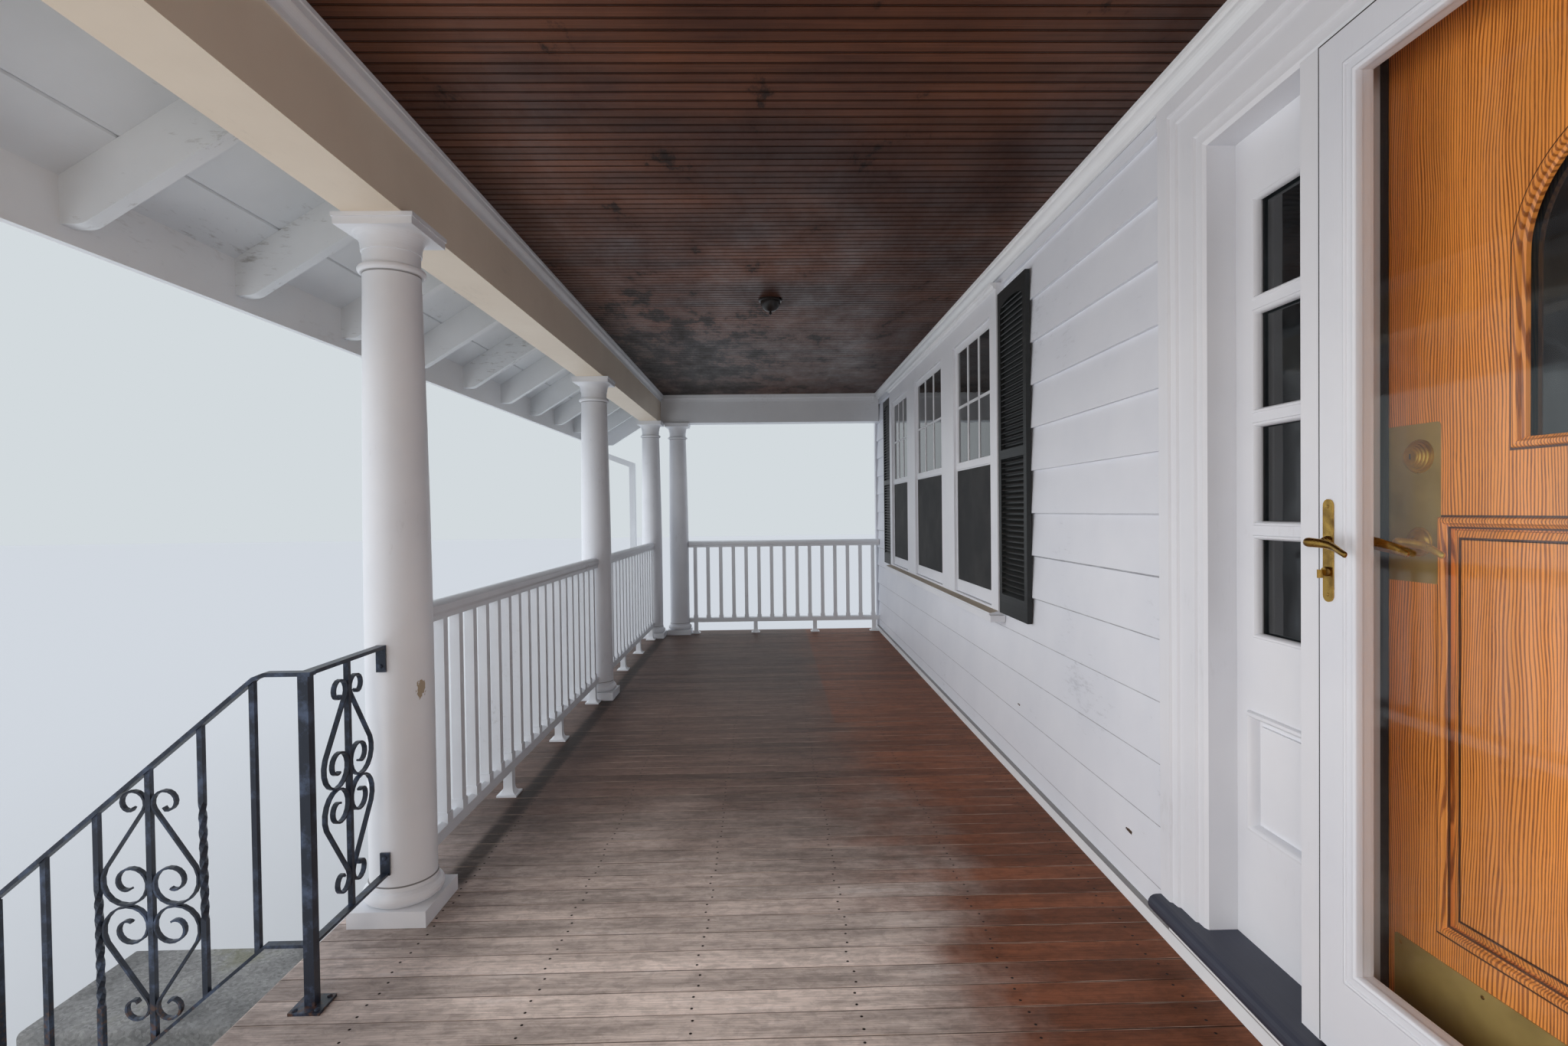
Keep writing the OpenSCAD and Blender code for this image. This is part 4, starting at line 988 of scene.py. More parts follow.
def place(name: str, shell: Shell, finish: Finish, body: str = "porch",
          replaces: tuple[str, ...] = (), smooth: float | None = None) -> bpy.types.Object:
    """Makes a finished piece that rides on its body.

    Args:
        name: the piece's name.
        shell: its points and faces.
        finish: what it is made of.
        body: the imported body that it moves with.
        replaces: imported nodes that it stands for.
        smooth: edges flatter than this many degrees are shaded smooth.

    Returns:
        The new object.
    """
    piece = bpy.data.objects.new(name, mesh_of(name, shell, smooth))
    piece.data.materials.append(finish.material())
    bpy.context.scene.collection.objects.link(piece)
    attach(piece, body)
    if replaces:
        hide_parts(*replaces)
    log.info("piece %s: %d faces, %s", name, len(piece.data.polygons), finish.name)
    return piece


@dataclass
class PorchFloor:
    """Tongued boards that run from the wall to a rounded front edge."""

    gap: float = 0.6 * MM
    chamfer: float = 1.6 * MM
    thickness: float = 25 * MM
    front_y: float = SIDING_Y - 2.390
    back_y: float = SIDING_Y - 0.012
    seed: int = 5

    def outline(self) -> np.ndarray:
        """The side view of a board: its half-round nose, and then its back.

        Returns:
            The outline as (y, z) points.
        """
        r = self.thickness / 2
        angle = np.radians(np.linspace(270, 90, 11))
        nose = np.stack([self.front_y + r + r * np.cos(angle), DECK_Z - r + r * np.sin(angle)], -1)
        back = np.array([[self.back_y, DECK_Z], [self.back_y, DECK_Z - self.thickness]])
        return np.concatenate([nose, back])

    def build(self) -> None:
        """Each board is four rings along X: the outline, pulled in by the chamfer at both edges.

        The outer rings are pulled in all round, so that the board's arris is broken. Each board lies up to
        0.5 mm low.
        """
        first = math.ceil((-DECK_HALF - FLOOR_JOINT_X) / BOARD_PITCH)
        last = math.floor((DECK_HALF - FLOOR_JOINT_X) / BOARD_PITCH)
        joints = FLOOR_JOINT_X + BOARD_PITCH * np.arange(first, last + 1)
        edges = np.concatenate([[-DECK_HALF], joints, [DECK_HALF]])
        low, high = edges[:-1] + self.gap / 2, edges[1:] - self.gap / 2
        keep = high - low > 4 * self.chamfer
        low, high = low[keep], high[keep]
        along = np.stack([low, low + self.chamfer, high - self.chamfer, high], -1)
        outline = self.outline()
        inner = outline.copy()
        middle = np.array([(self.front_y + self.back_y) / 2, DECK_Z - self.thickness / 2])
        inner += np.sign(middle - outline) * self.chamfer * np.array([0.5, 0.7])
        sections = np.stack([inner, outline, outline, inner])
        drop = np.random.default_rng(self.seed).uniform(0, 0.5 * MM, len(low))
        points = np.zeros((len(low), 4, len(outline), 3))
        points[..., 0] = along[:, :, None]
        points[..., 1:] = sections[None]
        points[..., 2] -= drop[:, None, None]
        place("floor_boards", rings(points), FLOOR, replaces=("porch_floor",))
        dress({"floor_frame": WHITE_X})


@dataclass
class BeadedCeiling:
    """Boards across the porch with a bead at each joint and one down the middle of each board."""

    half: float = 6.467
    front_y: float = SIDING_Y - 2.143
    back_y: float = SIDING_Y + 0.012
    thickness: float = 15 * MM

    def bead_line(self) -> np.ndarray:
        """One half board's face, from the joint: a quirk, a bead 7 mm wide, a second quirk, and the flat.

        Returns:
            Pairs (distance from the joint, height above the face).
        """
        angle = np.radians(np.linspace(0, 180, 6))
        bead = np.stack([1.2 * MM + 3.5 * MM * (1 - np.cos(angle)), 2.6 * MM * (1 - np.sin(angle))], -1)
        flat_from = bead[-1, 0] + 1.6 * MM
        return np.concatenate([[[0.0, 3.4 * MM]], bead, [[flat_from - 0.6 * MM, 3.0 * MM], [flat_from, 0.0],
                                                         [BOARD_PITCH / 2 - 0.4 * MM, 0.0]]])

    def build(self) -> None:
        """Each half board is a row of rings along X, whose lower corners follow the bead line."""
        line = self.bead_line()
        first = math.ceil((-self.half - CEILING_JOINT_X) / (BOARD_PITCH / 2))
        last = math.floor((self.half - CEILING_JOINT_X) / (BOARD_PITCH / 2)) - 1
        starts = CEILING_JOINT_X + BOARD_PITCH / 2 * np.arange(first, last + 1)
        x = starts[:, None] + line[None, :, 0]
        x[0, 0] = -self.half
        x[-1, -1] = self.half
        low = CEILING_Z + line[:, 1]
        high = CEILING_Z + self.thickness
        points = np.zeros((len(starts), len(line), 4, 3))
        points[..., 0] = x[:, :, None]
        points[..., 1] = np.array([self.front_y, self.back_y, self.back_y, self.front_y])
        points[..., :2, 2] = low[:, None]
        points[..., 2:, 2] = high
        place("ceiling_boards", rings(points), CEILING, replaces=("ceiling",))
        dress({"ceiling_moulding": WHITE_X, "ceiling_lights": LAMP_BRONZE})


@dataclass
class Roof:
    """Boards on the rafters, shingles over them, and the trim and gutter at the eaves."""

    pitch_deg: float = 32.0
    half: float = 6.699
    eave_y: float = SIDING_Y - 2.836
    wall_y: float = SIDING_Y + 0.012
    eave_z: float = 0.0
    board_width: float = 0.1965
    board_t: float = 20 * MM
    exposure: float = 0.143
    tab: float = 0.305
    seed: int = 11

    def __post_init__(self) -> None:
        """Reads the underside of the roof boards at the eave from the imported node."""
        self.eave_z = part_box("roof_boards")[0].z

    def on_slope(self, along: np.ndarray, above: np.ndarray) -> np.ndarray:
        """Turns distances on the roof into points.

        Args:
            along: distance up the slope from the eave.
            above: height square to the boards' underside.

        Returns:
            The points, as (y, z).
        """
        c, s = math.cos(math.radians(self.pitch_deg)), math.sin(math.radians(self.pitch_deg))
        return np.stack([self.eave_y + along * c - above * s, self.eave_z + along * s + above * c], -1)

    def slope_length(self) -> float:
        """Measures the slope.

        Returns:
            The distance up it from the eave to the wall.
        """
        return (self.wall_y - self.eave_y) / math.cos(math.radians(self.pitch_deg))

    def boards(self) -> None:
        """Six-sided boards along X, chamfered 5 mm at each lower edge so that the joints show as grooves."""
        v, e, t = 5 * MM, 0.4 * MM, self.board_t
        section = np.array([[e, v], [v, 0], [self.board_width - v, 0], [self.board_width - e, v],
                            [self.board_width - e, t], [e, t]])
        count = int(self.slope_length() / self.board_width)
        along = self.board_width * np.arange(count)[:, None] + section[None, :, 0]
        along[-1, 2:5] += self.slope_length() - count * self.board_width
        sections = self.on_slope(along, np.broadcast_to(section[:, 1], along.shape))
        place("roof_sheathing", prisms(sections, Axis.X, -self.half, self.half), WEATHERED_X,
              replaces=("roof_boards",))

    def shingles(self) -> None:
        """Tabs in courses, each a thin wedge: thick at its lower edge and buried under the next course."""
        rng = np.random.default_rng(self.seed)
        half = self.half + 12 * MM
        eave = -22 * MM / math.cos(math.radians(self.pitch_deg))
        length = self.slope_length()
        base, lift, slot = self.board_t + 0.5 * MM, 9 * MM, 4 * MM
        under = self.on_slope(np.array([eave, length, length, eave]), base + np.array([0, 0, 4, 4]) * MM)
        shells = [prisms(under[None], Axis.X, -half, half)]
        courses = int((length - eave) / self.exposure)
        for course in range(courses):
            start = eave + course * self.exposure
            end = min(start + self.exposure * 1.15, length)
            count = int(2 * half / self.tab) + 2
            left = -half + (np.arange(count) - 0.5 * (course % 2) - 0.25) * self.tab
            right = left + self.tab - slot
            low, high = np.clip(left, -half, half), np.clip(right, -half, half)
            keep = high - low > 0.03
            low, high = low[keep], high[keep]
            front = start + rng.uniform(-2.0, 2.0, len(low)) * MM
            thick = lift + rng.uniform(-1.0, 1.0, len(low)) * MM
            same = np.ones(len(low))
            along = np.stack([np.maximum(front, eave), end * same, end * same, np.maximum(front, eave)], -1)
            above = np.stack([(base + 3 * MM) * same, (base + 1 * MM) * same, (base + 4.5 * MM) * same,
                              base + thick], -1)
            shells.append(prisms(self.on_slope(along, above), Axis.X, low, high))
        place("roof_shingles", Shell.join(shells), ASPHALT, replaces=("roof_covering",))

    def build(self) -> None:
        """Boards, shingles and the finishes of the eaves."""
        self.boards()
        self.shingles()
        # The front beam's cream paint is painted warm light from the floor.
        dress({"rafters": WEATHERED, "fascia": WHITE_X, "gutter": GUTTER_METAL, "downspouts": GUTTER_METAL,
               "gable_ends": SIDING_PAINT, "rake_boards": WHITE_Y, "front_beam": BEAM_PAINT_WITH_PAINTED_FLOOR_LIGHT,
               "end_beams": WHITE_Y, "roof_boards": WEATHERED_X, "roof_covering": ASPHALT})


@dataclass
class HouseWall:
    """Lapped siding, its trim, the double-hung windows with their screens, and the shutters."""

    window_x: float = 4.097
    spans: tuple[tuple[float, float], ...] = ((-1.455, -0.735), (-0.425, 0.425), (0.735, 1.455))
    window_z: tuple[float, float] = (DECK_Z + 0.730, DECK_Z + 2.120)
    meet_z: float = DECK_Z + 1.440
    casing_front: float = SIDING_Y - 0.032
    case_w: float = 0.110
    head_top: float = DECK_Z + 2.250
    sash_front: float = SIDING_Y - 0.018
    sash_t: float = 0.032
    lower_front: float = SIDING_Y + 0.001
    lower_t: float = 0.018
    stile: float = 0.042
    bar: float = 0.010
    screen_rails: tuple[float, float, float] = (0.014, 0.066, 0.006)
    sill_front: float = SIDING_Y - 0.078
    shutter_y: tuple[float, float] = (SIDING_Y - 0.028, SIDING_Y - 0.008)
    shutter_w: float = 0.380
    shutter_stile: float = 0.036
    shutter_gap: float = 0.008
    shutter_rails: tuple[tuple[float, float], ...] = ((DECK_Z + 0.715, DECK_Z + 0.806),
                                                      (DECK_Z + 1.424, DECK_Z + 1.465),
                                                      (DECK_Z + 2.100, DECK_Z + 2.190))
    arch_rise: float = 0.032
    slat_step: float = 0.025
    slat_lean: float = 40.0

    def reach(self) -> float:
        """Measures a window group.

        Returns:
            The distance from its middle to the outside of its casing.
        """
        return self.spans[-1][1] + self.case_w

    def strip(self, section: np.ndarray, reach: float) -> Shell:
        """Runs a section along both window groups.

        Args:
            section: outline as (y, z) points.
            reach: how far it goes to each side of a group's middle.

        Returns:
            The two strips.
        """
        return mirrored(prisms(section[None], Axis.X, self.window_x - reach, self.window_x + reach))

    @staticmethod
    def flat_frame(x0: float, x1: float, z0: float, z1: float, rails: tuple[float, float, float],
                   y: tuple[float, float]) -> Shell:
        """A flat frame: two stiles from foot to head, and two rails between them.

        Args:
            x0, x1, z0, z1: the frame's outside.
            rails: width of the stiles, the foot rail and the head rail.
            y: its front and back.

        Returns:
            The four members.
        """
        side, foot, head = rails
        low = [(x0, z0), (x1 - side, z0), (x0 + side, z0), (x0 + side, z1 - head)]
        high = [(x0 + side, z1), (x1, z1), (x1 - side, z0 + foot), (x1 - side, z1)]
        return boxes(np.array([(x, y[0], z) for x, z in low]), np.array([(x, y[1], z) for x, z in high]))

    def lites(self, x0: float, x1: float, z0: float, z1: float) -> Shell:
        """Two upright bars and one level bar in the upper sash, with a bead round each of its six lites.

        Args:
            x0, x1, z0, z1: the opening inside the sash.

        Returns:
            The bars and beads.
        """
        bead = np.array([[1, -1], [1, 0], [-1, 0], [-3, -4], [-3, -7], [1, -7]]) * MM
        face = self.sash_front + 2 * MM
        xs = x0 + (x1 - x0) * np.array([1, 2]) / 3
        mid = (z0 + z1) / 2
        half, back = self.bar / 2, face + 22 * MM
        low = [(x - half, face, z0) for x in xs] + [(x0, face, mid - half)]
        high = [(x + half, back, z1) for x in xs] + [(x1, back, mid + half)]
        shells = [boxes(np.array(low), np.array(high))]
        lefts = np.concatenate([[x0], xs + half])
        rights = np.concatenate([xs - half, [x1]])
        for a, b in zip(lefts, rights):
            for c, d in ((z0, mid - half), (mid + half, z1)):
                shells.append(moulding(rectangle(a, b, c, d), bead, face))
        return Shell.join(shells)

    def windows(self) -> None:
        """Two sashes, a screen and their glass in each window, and a drip cap over the heads of each group.

        The upper sash stands 14 mm behind the casing's face and the lower sash 33 mm. The upper sash's foot
        rail has its middle at meet_z, and the lower sash ends 2 mm under that rail.
        """
        (z0, z1), mid, rail, low_rail = self.window_z, self.meet_z, 0.036, 0.060
        half = rail / 2
        sash_y = (self.sash_front, self.sash_front + self.sash_t)
        lower_y = (self.lower_front, self.lower_front + self.lower_t)
        screen_y = (self.sash_front + 2 * MM, self.sash_front + 12 * MM)
        side, foot, head = self.screen_rails
        screen_foot, screen_head = z0 + 0.002, mid - 0.019
        wood, glass, mesh = [], [], []
        for a, b in self.window_x + np.array(self.spans):
            in_a, in_b = a + self.stile, b - self.stile
            wood += [self.flat_frame(a, b, mid - half, z1, (self.stile, rail, rail), sash_y),
                     self.lites(in_a, in_b, mid + half, z1 - rail),
                     self.flat_frame(a, b, z0, mid + half - 0.038, (self.stile, low_rail, rail), lower_y),
                     self.flat_frame(a, b, screen_foot, screen_head, self.screen_rails, screen_y)]
            glass += [((in_a, sash_y[0] + 0.007, mid + half), (in_b, sash_y[0] + 0.010, z1 - rail)),
                      ((in_a, lower_y[0] + 0.012, z0 + low_rail), (in_b, lower_y[0] + 0.015, mid - 0.056))]
            mesh.append(((a + side, screen_y[0] + 0.003, screen_foot + foot),
                         (b - side, screen_y[0] + 0.004, screen_head - head)))
        place("glazed_sashes", mirrored(Shell.join(wood)), WHITE_Z,
              replaces=("window_sashes",))
        for name, sheets, finish, slot, node in (
                ("sash_glass", glass, DARK_PANE, "dark_pane", "window_panes"),
                ("screen_mesh", mesh, SCREEN, "screen", "window_screens")):
            place(name, mirrored(boxes(*np.array(sheets).transpose(1, 0, 2))), finish, replaces=(node,))
        cap = np.array([[0, 0], [0, 26], [-4, 28], [-10, 26], [-14, 16], [-26, 12], [-30, 0]]) * MM
        section = np.stack([self.casing_front - cap[:, 1], self.head_top + cap[:, 0]], -1)
        place("window_caps", self.strip(section, self.reach()), WHITE_X, smooth=35)

    def shutters(self) -> None:
        """Four moulded shutters, closed behind by a sheet 2 mm thick, with slats 20 mm wide that lean.

        The head rail's lower edge is an arc: z = spring + rise sqrt(1 - t t), with t from -1 to 1 between the
        stiles.
        """
        front, back = self.shutter_y
        (foot, foot_top), (mid_foot, mid_top), (spring, top) = self.shutter_rails
        half = self.shutter_w / 2
        inner, lean, tuck = half - self.shutter_stile, math.radians(self.slat_lean), 1 * MM
        t = np.linspace(-1, 1, 17)
        arc = np.stack([t * inner, spring + self.arch_rise * np.sqrt(np.clip(1 - t ** 2, 0, 1))], -1)
        head = np.concatenate([arc, [[inner, top], [-inner, top]]])
        slat = np.array([[-0.010, -0.0025], [0.010, -0.0025], [0.010, 0.0025], [-0.010, 0.0025]])
        turn = np.array([[math.cos(lean), math.sin(lean)], [-math.sin(lean), math.cos(lean)]])
        rows = np.concatenate([np.arange(foot_top + 0.006, mid_foot, self.slat_step),
                               np.arange(mid_top + 0.006, spring + 0.03, self.slat_step)])
        sections = (slat @ turn)[None] + np.stack([np.full(len(rows), (front + back) / 2), rows], -1)[:, None]
        low = [(-half, foot), (inner, foot), (-inner, foot), (-inner, mid_foot)]
        high = [(-inner, top), (half, top), (inner, foot_top), (inner, mid_top)]
        parts = []
        for way in (-1, 1):
            middle = self.window_x + way * (self.reach() + self.shutter_gap + half)
            left, right = middle - inner - tuck, middle + inner + tuck
            parts += [boxes(np.array([(middle + x, front, z) for x, z in low]),
                            np.array([(middle + x, back, z) for x, z in high])),
                      boxes(np.array([[left, back - 2 * MM, foot_top - tuck]]),
                            np.array([[right, back, top - tuck]])),
                      prisms(head[None] + [middle, 0.0], Axis.Y, front, back),
                      prisms(sections, Axis.X, left, right)]
        place("louvred_shutters", mirrored(Shell.join(parts)), SHUTTER_PAINT,
              replaces=("shutters",))

    def sill_tops(self) -> None:
        """A skin 0.6 mm thick on each sloping sill, where the paint has worn off the wood."""
        z0, skin = self.window_z[0], 0.6 * MM
        slope = np.array([[self.casing_front, z0 - 11.4 * MM], [self.sill_front + 6 * MM, z0 - 20 * MM]])
        section = np.concatenate([slope, slope[::-1] + [[0, skin], [0, skin]]])
        place("bare_sills", self.strip(section, self.reach() - 0.002), WEATHERED_SILL)

    def build(self) -> None:
        """Windows, worn sills, and the finish of each part of the wall."""
        self.windows()
        self.sill_tops()
        self.shutters()
        dress({"siding": SIDING_PAINT, "base_trim": BASE_PAINT, "corner_boards": WHITE_Z,
               "wall_left": PLASTER, "wall_right": PLASTER, "wall_over_door": PLASTER,
               "window_frames": WHITE_Z, "window_sashes": WHITE_Z, "window_panes": DARK_PANE,
               "window_screens": SCREEN, "shutters": SHUTTER_PAINT})


@dataclass
class Colonnade:
    """Turned columns with their bases and capitals, and the wooden railings between them."""

    def build(self) -> None:
        """Gives the columns and railings their finishes."""
        dress({"column_bases": COLUMN_PAINT, "column_shafts": COLUMN_PAINT, "column_capitals": COLUMN_PAINT,
               "front_railings": WHITE_X, "end_railings": WHITE_Y})


@dataclass
class StairIron:
    """Wrought railings beside the steps, their bolts, and the masonry that carries them."""

    rail_x: float = 0.870
    rail_y: float = SIDING_Y - 2.235
    column_face: float = 1.234
    foot_y: float = SIDING_Y - 2.235 - 0.762
    tread_z: float = 0.190

    def build(self) -> None:
        """Dome heads on the tab plates and the base plates, each a flattened half ball on a short rim."""
        dome = np.array([[0.0, 0.0], [6.5, 0.0], [6.5, 1.6], [5.6, 3.2], [3.6, 4.4], [0.0, 4.8]]) * MM
        plate, spread = 7 * MM, (-0.027, 0.027)
        tabs = [(side, DECK_Z + z) for side in (-1, 1) for z in (0.762, 0.200)]
        plates = [(side * self.rail_x, y, z + plate) for side in (-1, 1)
                  for y, z in ((self.rail_y, DECK_Z), (self.foot_y, self.tread_z))]
        feet = [(x + dx, y + dy, z) for x, y, z in plates for dx in spread for dy in spread]
        shells = [turned(dome, np.array(feet), (0, 0, 1), 16)]
        for side, z in tabs:
            face = np.array([[side * (self.column_face - 6 * MM), self.rail_y, z]])
            shells.append(turned(dome, face, (-side, 0, 0), 16))
        place("iron_bolts", Shell.join(shells), IRON, smooth=40)
        dress({"iron_rails": IRON, "iron_scrolls": IRON, "foundation": CONCRETE, "steps": CONCRETE,
               "cheek_walls": CONCRETE})


@dataclass(frozen=True)
class Lever:
    """A cast lever: a round stem out from the door, an elbow, and a wavy arm that thins to a rounded tip."""

    root: Vec3
    out: float
    side: int
    reach: float = 0.108
    elbow: float = 0.015
    belly: float = 0.0

    def shell(self) -> Shell:
        """The middle line is a straight stem, a quarter circle, and the arm.

        The arm has x = t reach and z = 6 sin(pi t) - 20 t, in millimetres, and bows 8 mm back to the door.

        Returns:
            The lever, swept with a round section that flattens towards the tip.
        """
        x0, y0, z0 = self.root
        straight = np.linspace(0, self.out - self.elbow, 6)
        stem = np.stack([np.full(6, x0), y0 + self.side * straight, np.full(6, z0)], -1)
        turn = np.linspace(0, np.pi / 2, 9)[1:]
        bend = np.stack([x0 + self.elbow * (1 - np.cos(turn)),
                         y0 + self.side * (self.out - self.elbow + self.elbow * np.sin(turn)),
                         np.full(8, z0)], -1)
        t = np.concatenate([np.linspace(self.elbow / self.reach, 0.97, 22)[1:], [0.985, 0.995, 1.0]])
        wave = 6 * MM * np.sin(np.pi * t) - 20 * MM * t
        arm = np.stack([x0 + self.reach * t, np.full(len(t), y0 + self.side * self.out), z0 + wave], -1)
        arm[:, 1] -= self.side * 8 * MM * np.sin(np.pi * t) ** 2
        round_end = np.ones(len(t))
        round_end[-4:] = (1.0, 0.87, 0.6, 0.15)
        across = np.concatenate([np.full(6, 6.0), np.linspace(6.5, 7.0, 8), (6.5 - 3.2 * t) * round_end])
        grip = 9.5 - 4.0 * t + self.belly / MM * np.sin(np.pi * t)
        height = np.concatenate([np.full(6, 6.0), np.linspace(6.8, 9.0, 8), grip * round_end])
        return swept(np.concatenate([stem, bend, arm]), np.stack([across, height], -1) * MM, (0, 0, 1))


@dataclass
class Entrance:
    """Storm door, oak door and sidelights, with their mouldings and brass."""

    storm_front: float = SIDING_Y - 0.034
    storm_back: float = SIDING_Y - 0.002
    lever_x: float = -0.428
    lever_z: float = DECK_Z + 1.128
    storm_x: float = 0.361
    storm_z: tuple[float, float] = (DECK_Z + 0.331, DECK_Z + 1.982)
    oak_front: float = SIDING_Y + 0.098
    lock_x: float = -0.377
    bolt_z: float = DECK_Z + 1.285
    leaf_half: float = 0.452
    leaf_foot: float = DECK_Z + 0.153
    panel_x: float = 0.334
    panel_z: tuple[float, float] = (DECK_Z + 0.430, DECK_Z + 1.170)
    border: float = 0.034
    arch_r: float = 0.200
    arch_z: float = DECK_Z + 1.290
    arch_h: float = 0.300
    side_front: float = SIDING_Y + 0.052
    side_x: tuple[float, float] = (0.575, 0.785)
    lite_z: tuple[float, float] = (DECK_Z + 0.887, DECK_Z + 1.925)
    lites: int = 4
    bar: float = 0.028
    side_panel_z: tuple[float, float] = (DECK_Z + 0.420, DECK_Z + 0.700)

    def arch(self) -> np.ndarray:
        """The arched lite's outline: its two foot corners and a half circle over them.

        Returns:
            The outline as (x, z) points.
        """
        angle = np.linspace(0, np.pi, 33)
        top = self.arch_z + self.arch_h
        bow = np.stack([self.arch_r * np.cos(angle), top + self.arch_r * np.sin(angle)], -1)
        return np.concatenate([[[-self.arch_r, self.arch_z], [self.arch_r, self.arch_z]], bow])

    def storm_door(self) -> None:
        """Beads round the clear glass, and the dark rubber strip round the leaf, which also paints the shadow
        line of the gap beside it.
        """
        beads = np.array([[31, -1], [31, 0.5], [29, 3], [26, 4], [23, 3], [21.5, 0.8], [9, 0.8], [7.5, 3],
                          [4, 4.2], [1, 3], [-1, 0], [-1, -11], [31, -11]]) * MM
        glass = rectangle(-self.storm_x, self.storm_x, *self.storm_z)
        place("storm_glazing_bead", moulding(glass, beads, self.storm_front), ENAMEL,
              body="storm_leaf", smooth=35)
        # Rubber strip and painted shade: the dark strip also stands for the shadow line of the gap round the
        # leaf.
        half, foot, head = 0.453, DECK_Z + 0.151, DECK_Z + 2.074
        edge = np.array([[half, foot], [half, head], [-half, head], [-half, foot]])
        strip = np.array([[0, 0], [3, 0], [3, -28], [0, -28]]) * MM
        place("storm_gasket_and_gap_shadow", moulding(edge, strip, self.storm_front + 0.3 * MM, closed=False), RUBBER,
              body="storm_leaf")

    def storm_brass(self) -> None:
        """A lever on each side, with its collars and keyhole on the brass plates, and the plates' screws."""
        collar = np.array([[0, 0], [11, 0], [11, 3], [9.5, 5], [8, 5.5], [8, 9], [6, 10], [0, 10]]) * MM
        plate = 3 * MM
        levers, collars = [], []
        for face, side, out in ((self.storm_front - plate, -1, 0.047), (self.storm_back + plate, 1, 0.027)):
            levers.append(Lever((self.lever_x, face, self.lever_z), out, side,
                                belly=4 * MM if side > 0 else 0.0).shell())
            collars.append(turned(collar, np.array([[self.lever_x, face, self.lever_z]]), (0, side, 0)))
        place("storm_levers", Shell.join(levers), BRASS, body="storm_handle",
              replaces=("storm_lever",), smooth=50)
        lock = np.array([[0, 0], [9, 0], [9, 6], [8, 8], [3, 8.6], [0, 8.6]]) * MM
        at = np.array([[self.lever_x, self.storm_front - plate, self.lever_z - 0.057]])
        collars.append(turned(lock, at, (0, -1, 0)))
        thumb, half = at - [0.0, 0.014, 0.004], np.array([[1.5, 6, 8]]) * MM
        collars.append(boxes(thumb - half, thumb + half))
        place("storm_lock", Shell.join(collars), BRASS, body="storm_leaf", smooth=35)
        screw = np.array([[0, 0], [3.2, 0], [2.6, 0.9], [0, 1.2]]) * MM
        heads = np.array([[self.lever_x, self.storm_front - plate, self.lever_z - 0.017 + dz]
                          for dz in (-0.084, 0.084)])
        place("storm_plate_screws", turned(screw, heads, (0, -1, 0), 12), BRASS, body="storm_leaf",
              smooth=35)

    def oak_door(self) -> None:
        """Mouldings round the panel and the arched lite, with dark strips in their quirks: stain that gathers
        there, and painted shade of the grooves.
        """
        x, (z0, z1), b = self.panel_x, self.panel_z, self.border
        frame_bead = np.array([[4, -1], [4, 1], [2, 4], [-2, 5.5], [-6, 4.5], [-8, 2], [-9, -2], [-13, -5],
                               [-14, -12], [4, -12]]) * MM
        bevel = np.array([[-2, -4], [0, -4], [14, -9], [15, -10.5], [15, -13], [-2, -13]]) * MM
        field_line = rectangle(-x + b, x - b, z0 + b, z1 - b)
        place("oak_panel_moulding", Shell.join([
            moulding(rectangle(-x, x, z0, z1), frame_bead, self.oak_front),
            moulding(field_line, bevel, self.oak_front),
            moulding(self.arch(), frame_bead, self.oak_front)]),
            OAK, body="inner_leaf", smooth=35)
        # Stain and painted shade: dark strips in the grooves of the mouldings.
        quirk = np.array([[7.5, -1], [7.5, 0.4], [4, 0.4], [4, -1]]) * MM
        inner = np.array([[-13, -6], [-13, -3.4], [-16, -3.4], [-16, -6]]) * MM
        sunk = np.array([[-0.5, -6], [-0.5, -3.6], [2.5, -3.6], [2.5, -6]]) * MM
        place("oak_quirks", Shell.join([
            moulding(rectangle(-x, x, z0, z1), quirk, self.oak_front),
            moulding(rectangle(-x, x, z0, z1), inner, self.oak_front - 2 * MM),
            moulding(field_line, sunk, self.oak_front),
            moulding(self.arch(), quirk, self.oak_front)]), OAK_QUIRK_STAIN_AND_SHADE, body="inner_leaf")

    def oak_brass(self) -> None:
        """The oak door's lever, deadbolt and keyhole, its lock plate, and the kick plate with its screws."""
        face = self.oak_front
        rose = np.array([[0, 0], [27, 0], [27, 2.5], [25.5, 3.5], [24, 3.6], [23, 5.5], [19, 8], [12, 9.5],
                         [9, 12], [8, 16], [0, 16]]) * MM
        bolt = np.array([[0, 0], [31, 0], [31, 3], [29.5, 5], [27, 5.2], [27, 8], [25.5, 9.4], [23.5, 9.6],
                         [23.5, 12], [22, 13.4], [20, 13.6], [20, 16], [18.5, 17.4], [16.5, 17.6],
                         [16.5, 19.2], [15.5, 20], [11, 20], [10, 19.2], [0, 19.2]]) * MM
        place("oak_door_lever", Shell.join([
            Lever((self.lock_x, face, self.lever_z), 0.052, -1).shell(),
            turned(rose, np.array([[self.lock_x, face, self.lever_z]]), (0, -1, 0), 48),
            turned(bolt, np.array([[self.lock_x, face, self.bolt_z]]), (0, -1, 0), 48)]),
            POLISHED_BRASS, body="inner_leaf", replaces=("inner_brass",), smooth=40)
        kick = self.plate(-self.leaf_half + 0.020, self.leaf_half - 0.020, self.leaf_foot + 0.012,
                          self.leaf_foot + 0.222, 6 * MM, 2 * MM)
        lock = self.plate(-self.leaf_half + 0.001, self.lock_x + 0.044, self.lever_z - 0.075,
                          self.bolt_z + 0.060, 8 * MM, 1.2 * MM)
        place("oak_door_plates", Shell.join([kick, lock]), SHEET_BRASS, body="inner_leaf")
        slit = np.array([[self.lock_x - 1.2 * MM, face - 19.6 * MM, self.bolt_z - 5 * MM]])
        wide = np.array([[2.4, 0.6, 10]]) * MM
